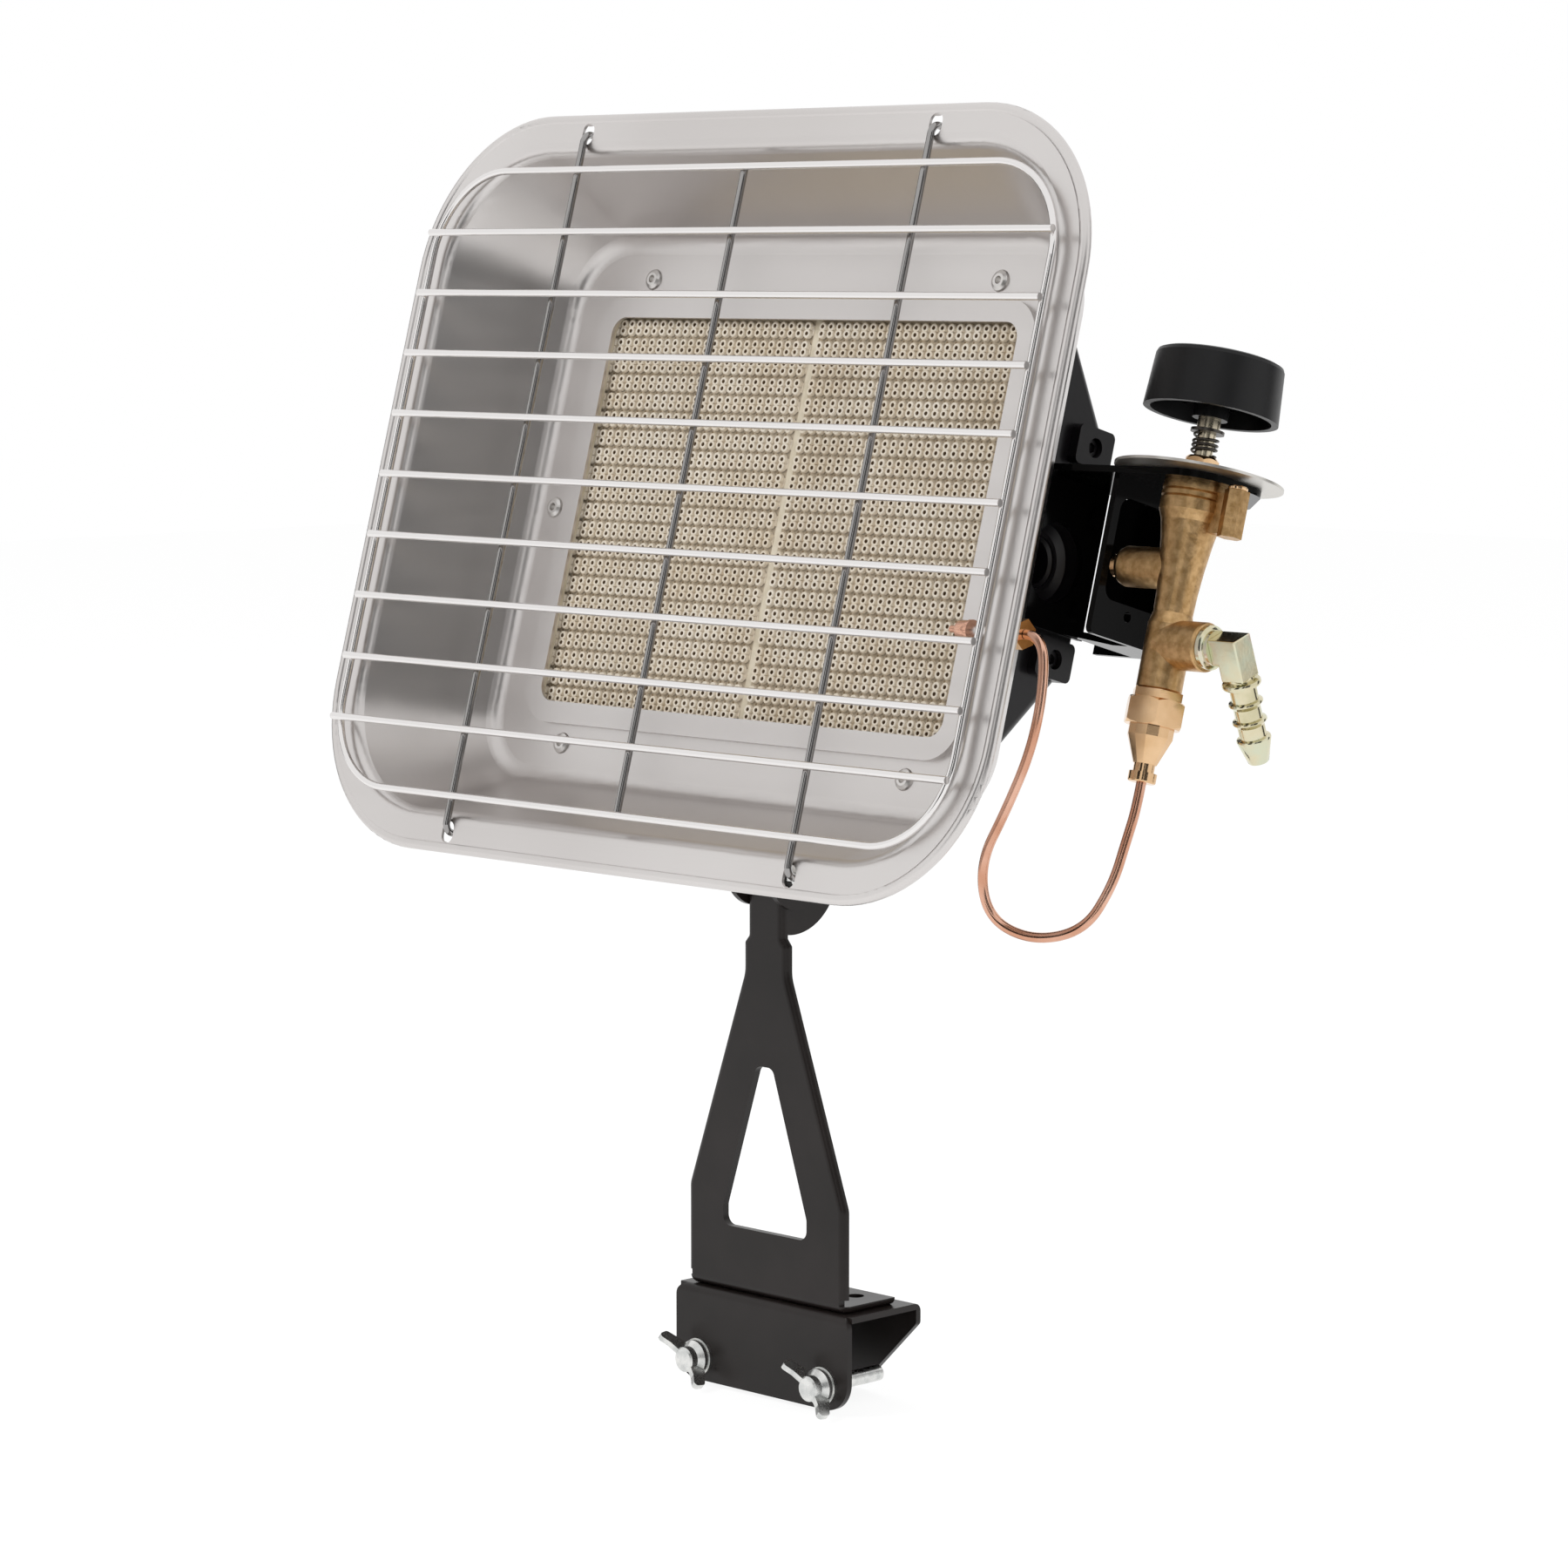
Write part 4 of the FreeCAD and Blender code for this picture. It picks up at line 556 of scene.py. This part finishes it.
def burner_plate(name, side, materials):
    """One plate: ridges across it, each with two rows of collared ports."""
    plate = PlateMesh()
    inner = SEAM_HALF
    outer = SEAM_HALF + PLATE_WIDTH
    low = min(side * inner, side * outer)
    high = max(side * inner, side * outer)
    valley = PLATE_FRONT + VALLEY_DEPTH
    half = PLATE_HALF_HEIGHT
    plate.box((low, valley, -half), (high, PLATE_BACK, half), SHADED_VALLEY)
    start = inner + (PLATE_WIDTH - PORT_PITCH * (PORT_COLUMNS - 1)) / 2
    for row in range(RIDGE_COUNT):
        middle = (row - (RIDGE_COUNT - 1) / 2) * RIDGE_PITCH
        top = PLATE_FRONT + COLLAR_RISE
        plate.box((low, top, middle - RIDGE_HALF), (high, valley, middle + RIDGE_HALF), CERAMIC)
        for column in range(PORT_COLUMNS):
            across = side * (start + column * PORT_PITCH)
            plate.port(across, middle - PORT_ROW_GAP / 2, 1)
            plate.port(across, middle + PORT_ROW_GAP / 2, -1)
            if row:
                plate.pit(across + side * PORT_PITCH / 2, middle - RIDGE_PITCH / 2)
    return add_mesh(name, plate.points, plate.faces, materials, "head", plate.kinds)


def burner_plates():
    # The second and third finishes are painted shade on the same ceramic.
    materials = [burner_ceramic().material, shaded_valley_ceramic().material, port_painted_shade().material]
    for name, side in (("right", 1), ("left", -1)):
        piece = burner_plate("burner_face_" + name, side, materials)
        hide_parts("ceramic_plate_" + name)


def lathe(name, profile, base, along, material, body, sides=48):
    """A turned piece from (radius, height) pairs in millimetres, set on base along an axis.

    The profile starts and ends on the axis, so the piece is closed.
    """
    turn = Vector((0, 0, 1)).rotation_difference(along)
    points = []
    faces = []
    rings = []
    for radius, height in profile:
        count = sides if radius else 1
        rings.append([len(points) + i % count for i in range(sides)])
        for i in range(count):
            angle = 2 * math.pi * i / sides
            spot = Vector((radius * math.cos(angle), radius * math.sin(angle), height)) * MM
            points.append(base + turn @ spot)
    for low, high in zip(rings, rings[1:]):
        for i in range(sides):
            j = (i + 1) % sides
            corners = (low[i], low[j], high[j], high[i])
            faces.append(tuple(dict.fromkeys(corners)))
    piece = add_mesh(name, points, faces, [material], body)
    smooth_round(piece)
    return piece


def smooth_round(piece, angle=35):
    """Smooth shading, with the edges that turn more than the angle kept sharp."""
    piece.data.shade_smooth()
    edges = piece.data.edges
    mesh = bmesh.new()
    mesh.from_mesh(piece.data)
    limit = math.radians(angle)
    sharp = [len(e.link_faces) != 2 or e.calc_face_angle(0) > limit for e in mesh.edges]
    mesh.free()
    for edge, flag in zip(edges, sharp):
        edge.use_edge_sharp = flag


def knob_spring(material):
    """The return spring, with its middle turns a little closer than its ends."""
    count = int(SPRING_TURNS * SPRING_STEPS) + 1
    points = []
    for i in range(count):
        share = i / (count - 1)
        eased = share + SPRING_EASE * math.sin(2 * math.pi * share)
        angle = 2 * math.pi * SPRING_TURNS * share
        height = SPRING_LOW + (SPRING_HIGH - SPRING_LOW) * eased
        out = Vector((math.cos(angle), math.sin(angle), 0))
        centre = Vector((VALVE_ACROSS, VALVE_BACK, height)) + out * SPRING_RADIUS
        for j in range(SPRING_SIDES):
            turn = 2 * math.pi * j / SPRING_SIDES
            around = out * math.cos(turn) + Vector((0, 0, math.sin(turn)))
            points.append(head_point(*(centre + around * SPRING_WIRE)))
    faces = [tuple(reversed(range(SPRING_SIDES)))]
    for i in range(count - 1):
        low = i * SPRING_SIDES
        high = low + SPRING_SIDES
        for j in range(SPRING_SIDES):
            k = (j + 1) % SPRING_SIDES
            faces.append((low + j, low + k, high + k, high + j))
    last = (count - 1) * SPRING_SIDES
    faces.append(tuple(range(last, last + SPRING_SIDES)))
    piece = add_mesh("return_spring", points, faces, [material], "head")
    piece.data.shade_smooth()
    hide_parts("knob_spring")
    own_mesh(piece)


def elbow_block(material, centre, lean):
    """The square elbow itself: an L along X and then along the lean."""
    side = Vector((0, math.cos(BARB_TILT), math.sin(BARB_TILT)))
    inner = ELBOW_ACROSS - ELBOW_HALF
    outer = ELBOW_ACROSS + ELBOW_HALF
    outline = [
        (ELBOW_START, -ELBOW_HALF),
        (outer, -ELBOW_HALF),
        (outer, ELBOW_DROP),
        (inner, ELBOW_DROP),
        (inner, ELBOW_HALF),
        (ELBOW_START, ELBOW_HALF),
    ]
    points = []
    for offset in (-ELBOW_HALF, ELBOW_HALF):
        for across, drop in outline:
            spot = centre + lean * drop + side * offset
            points.append(head_point(across, spot.y, spot.z))
    count = len(outline)
    faces = [tuple(range(count)), tuple(reversed(range(count, 2 * count)))]
    for i in range(count):
        j = (i + 1) % count
        faces.append((j, i, i + count, j + count))
    block = add_mesh("elbow_block", points, faces, [material], "head")
    rounding = block.modifiers.new("edges", "BEVEL")
    rounding.width = EDGE_ROUND * MM
    rounding.segments = 3
    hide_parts("hose_elbow")


def elbow_collar(material):
    profile = [(0, 0), (6.2, 0), (6.5, 0.3), (6.5, 1.5), (6.2, 1.8), (5.3, 2.1), (5.3, 3.6), (0, 3.6)]
    base = head_point(ELBOW_START - COLLAR_REACH, VALVE_BACK, ELBOW_HEIGHT)
    collar = lathe("elbow_collar", profile, base, head_direction(1, 0, 0), material, "head")


def barbed_tail(material, centre, lean):
    """A flange under the block, a row of barbs and the hollow end."""
    profile = [
        (0, ELBOW_DROP - 0.5),
        (BARB_NECK, ELBOW_DROP - 0.5),
        (BARB_NECK, 9.5),
        (5.5, 9.7),
        (5.75, 10.1),
        (5.75, 10.8),
        (5.5, 11.2),
        (BARB_NECK, 11.4),
    ]
    for crest in BARB_CRESTS:
        profile.append((BARB_NECK, crest - 0.9))
        profile.append((BARB_CREST - 0.2, crest - 0.7))
        profile.append((BARB_CREST, crest - 0.4))
        profile.append((BARB_CREST, crest))
        if crest != BARB_CRESTS[-1]:
            profile.append((BARB_NECK, crest + 1.3))
    bottom = BARB_END - BARB_HOLLOW
    profile += [(3.1, BARB_END - 0.3), (2.8, BARB_END), (2.3, BARB_END), (2.2, bottom), (0, bottom)]
    tail = lathe("barbed_tail", profile, head_point(*centre), head_direction(*lean), material, "head")


def hose_elbow(material):
    """A turned collar, a square elbow and a barbed tail that leans back and down."""
    lean = Vector((0, math.sin(BARB_TILT), -math.cos(BARB_TILT)))
    centre = Vector((ELBOW_ACROSS, VALVE_BACK, ELBOW_HEIGHT))
    elbow_block(material, centre, lean)
    elbow_collar(material)
    barbed_tail(material, centre, lean)


def heat_probe(tip_finish, sleeve_finish):
    """The thermocouple's tip in front of the plates, on its thin sleeve from the dish's wall."""
    profile = [
        (0, 0),
        (0.8, 0),
        (1.1, 0.4),
        (1.1, 4),
        (2.8, 4),
        (2.9, 4.2),
        (2.9, 8),
        (3.2, 8),
        (3.2, 9),
        (0, 9),
    ]
    along = head_direction(1, 0, 0)
    start = head_point(TIP_START, PROBE_BACK, PROBE_HEIGHT)
    tip = lathe("probe_tip", profile, start, along, tip_finish, "head", 32)
    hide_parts("thermocouple_probe")
    rod = [(0, 0), (SLEEVE_RADIUS, 0), (SLEEVE_RADIUS, SLEEVE_LENGTH), (0, SLEEVE_LENGTH)]
    start = head_point(SLEEVE_START, PROBE_BACK, PROBE_HEIGHT)
    sleeve = lathe("probe_sleeve", rod, start, along, sleeve_finish, "head", 24)


def post_cap(material):
    """A low round cap on the valve's side post."""
    profile = [(0, 0), (2.7, 0), (2.9, 0.3), (2.9, 0.9), (2.5, 1.3), (0, 1.3)]
    base = head_point(VALVE_ACROSS + POST_OFFSET, VALVE_BACK, POST_TOP)
    cap = lathe("post_cap", profile, base, head_direction(0, 0, 1), material, "head", 32)
    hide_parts("side_plug")


def bracket_back(material):
    """The bracket's rear wall, carried on to the housing's side, in the bracket's paint with its painted
    shade.
    """
    points = [head_point(*corner) for corner in box_corners(REAR_LOW, REAR_HIGH)]
    piece = add_mesh("bracket_back", points, BOX_SIDES, [material], "head")


def curve_piece(name, points, radius, material, body, order=3):
    """A round tube along a smooth curve that the points pull."""
    curve = bpy.data.curves.new(name, "CURVE")
    curve.dimensions = "3D"
    curve.bevel_depth = radius
    curve.bevel_resolution = 5
    curve.use_fill_caps = True
    curve.resolution_u = 16
    spline = curve.splines.new("NURBS")
    spline.points.add(len(points) - 1)
    for spot, place in zip(spline.points, points):
        spot.co = (*place, 1)
    spline.order_u = order
    spline.use_endpoint_u = True
    piece = bpy.data.objects.new(name, curve)
    piece.data.materials.append(material)
    bpy.context.scene.collection.objects.link(piece)
    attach(piece, body)
    return piece


def copper_lead(material):
    """The stiff lead from the probe's nut round to the safety magnet."""
    route = [
        (126.98, 25.0, -32.7),
        (133.6, 25.0, -32.7),
        (135.4, 27.4, -47.0),
        (133.4, 29.6, -65.0),
        (125.2, 32.8, -83.0),
        (115.4, 36.6, -99.0),
        (117.0, 42.4, -114.0),
        (130.2, 48.4, -118.6),
        (144.6, 54.0, -113.2),
        (149.4, 57.0, -99.0),
        (150.4, 58.2, -85.0),
        (152.0, 58.0, -76.0),
        (152.0, 58.0, -68.0),
    ]
    points = [head_point(*place) for place in route]
    lead = curve_piece("copper_lead", points, LEAD_RADIUS * MM, material, "head")
    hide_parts("thermocouple_lead")


def camera():
    """The photo's view."""
    data = bpy.data.cameras.new("camera")
    data.lens = CAMERA_LENS
    data.sensor_width = 36.0
    data.clip_end = 20
    view = bpy.data.objects.new("camera", data)
    view.location = CAMERA_PLACE
    view.rotation_euler = (CAMERA_PITCH, 0, CAMERA_YAW)
    bpy.context.scene.collection.objects.link(view)
    bpy.context.scene.camera = view


def flat_board(name, corners, material):
    """A flat board to stage the picture with, which is no part of the object."""
    mesh = bpy.data.meshes.new(name)
    mesh.from_pydata(corners, [], [(0, 1, 2, 3)])
    mesh.materials.append(material)
    board = bpy.data.objects.new(name, mesh)
    bpy.context.scene.collection.objects.link(board)
    return board


def area_light(name, place, aim, size, power):
    data = bpy.data.lights.new(name, "AREA")
    data.shape = "RECTANGLE"
    data.size, data.size_y = size
    data.energy = power
    lamp = bpy.data.objects.new(name, data)
    lamp.location = place
    direction = Vector(aim) - Vector(place)
    lamp.rotation_euler = direction.to_track_quat("-Z", "Y").to_euler()
    lamp.visible_glossy = False
    bpy.context.scene.collection.objects.link(lamp)


def dark_card(name, place, aim, size, shade):
    """A grey board outside the picture that only reflections see."""
    half_width, half_height = size[0] / 2, size[1] / 2
    corners = [
        (-half_width, -half_height, 0),
        (half_width, -half_height, 0),
        (half_width, half_height, 0),
        (-half_width, half_height, 0),
    ]
    card = flat_board(name, corners, Finish(name, (shade, shade, shade), 0.9).material)
    card.location = place
    direction = Vector(aim) - Vector(place)
    card.rotation_euler = direction.to_track_quat("Z", "Y").to_euler()
    card.visible_camera = False
    card.visible_shadow = False
    card.visible_diffuse = False


def world():
    setting = bpy.data.worlds.new("studio")
    bpy.context.scene.world = setting
    setting.use_nodes = True
    tree = setting.node_tree
    background = tree.nodes["Background"]
    background.inputs["Color"].default_value = (1, 1, 1, 1)
    strength = tree.nodes.new("ShaderNodeMapRange")
    strength.inputs["To Min"].default_value = WORLD_LIGHT
    strength.inputs["To Max"].default_value = WORLD_SEEN
    tree.links.new(seen_rays(tree), strength.inputs["Value"])
    tree.links.new(strength.outputs["Result"], background.inputs["Strength"])


def floor():
    drop = cad_low.z - MM
    reach = 4.0
    corners = [(-reach, -reach, drop), (reach, -reach, drop), (reach, reach, drop), (-reach, reach, drop)]
    plane = flat_board("floor", corners, pale_floor().material)


def studio():
    """Soft lamps, in metres and watts, and the boards that shade the reflections."""
    aim = (0.0, 0.0, 0.22)
    area_light("key", (-0.9, -1.6, 1.5), aim, (1.0, 1.0), 22)
    area_light("fill", (1.7, -0.5, 0.9), aim, (1.2, 1.2), 9)
    area_light("top", (0.1, 0.2, 1.9), aim, (1.4, 1.0), 12)
    dark_card("card_right", (1.5, -0.5, 0.35), aim, (0.75, 1.5), 0.08)
    dark_card("card_far_right", (0.9, 1.3, 0.3), aim, (0.5, 1.4), 0.05)
    dark_card("card_camera", (1.36, -1.22, 0.3), aim, (0.4, 1.6), 0.01)
    dark_card("card_front", (0.36, -1.56, 0.3), aim, (0.7, 1.6), 0.01)
    dark_card("card_left", (-1.5, -0.1, 0.2), aim, (0.5, 1.4), 0.05)
    dark_card("card_low", (0.4, -1.3, -0.3), aim, (1.6, 0.3), 0.06)


camera()
world()
floor()
studio()
# The bracket's paint that comes back carries painted shade.
brass_finish, bracket_with_painted_shade = dress_nodes()
burner_plates()
copper_finish = copper().material
copper_lead(copper_finish)
hose_elbow(yellow_zinc().material)
heat_probe(copper_finish, dish_steel().material)
knob_spring(spring_steel().material)
post_cap(brass_finish)
bracket_back(bracket_with_painted_shade)
bpy.context.scene.view_settings.view_transform = "Standard"
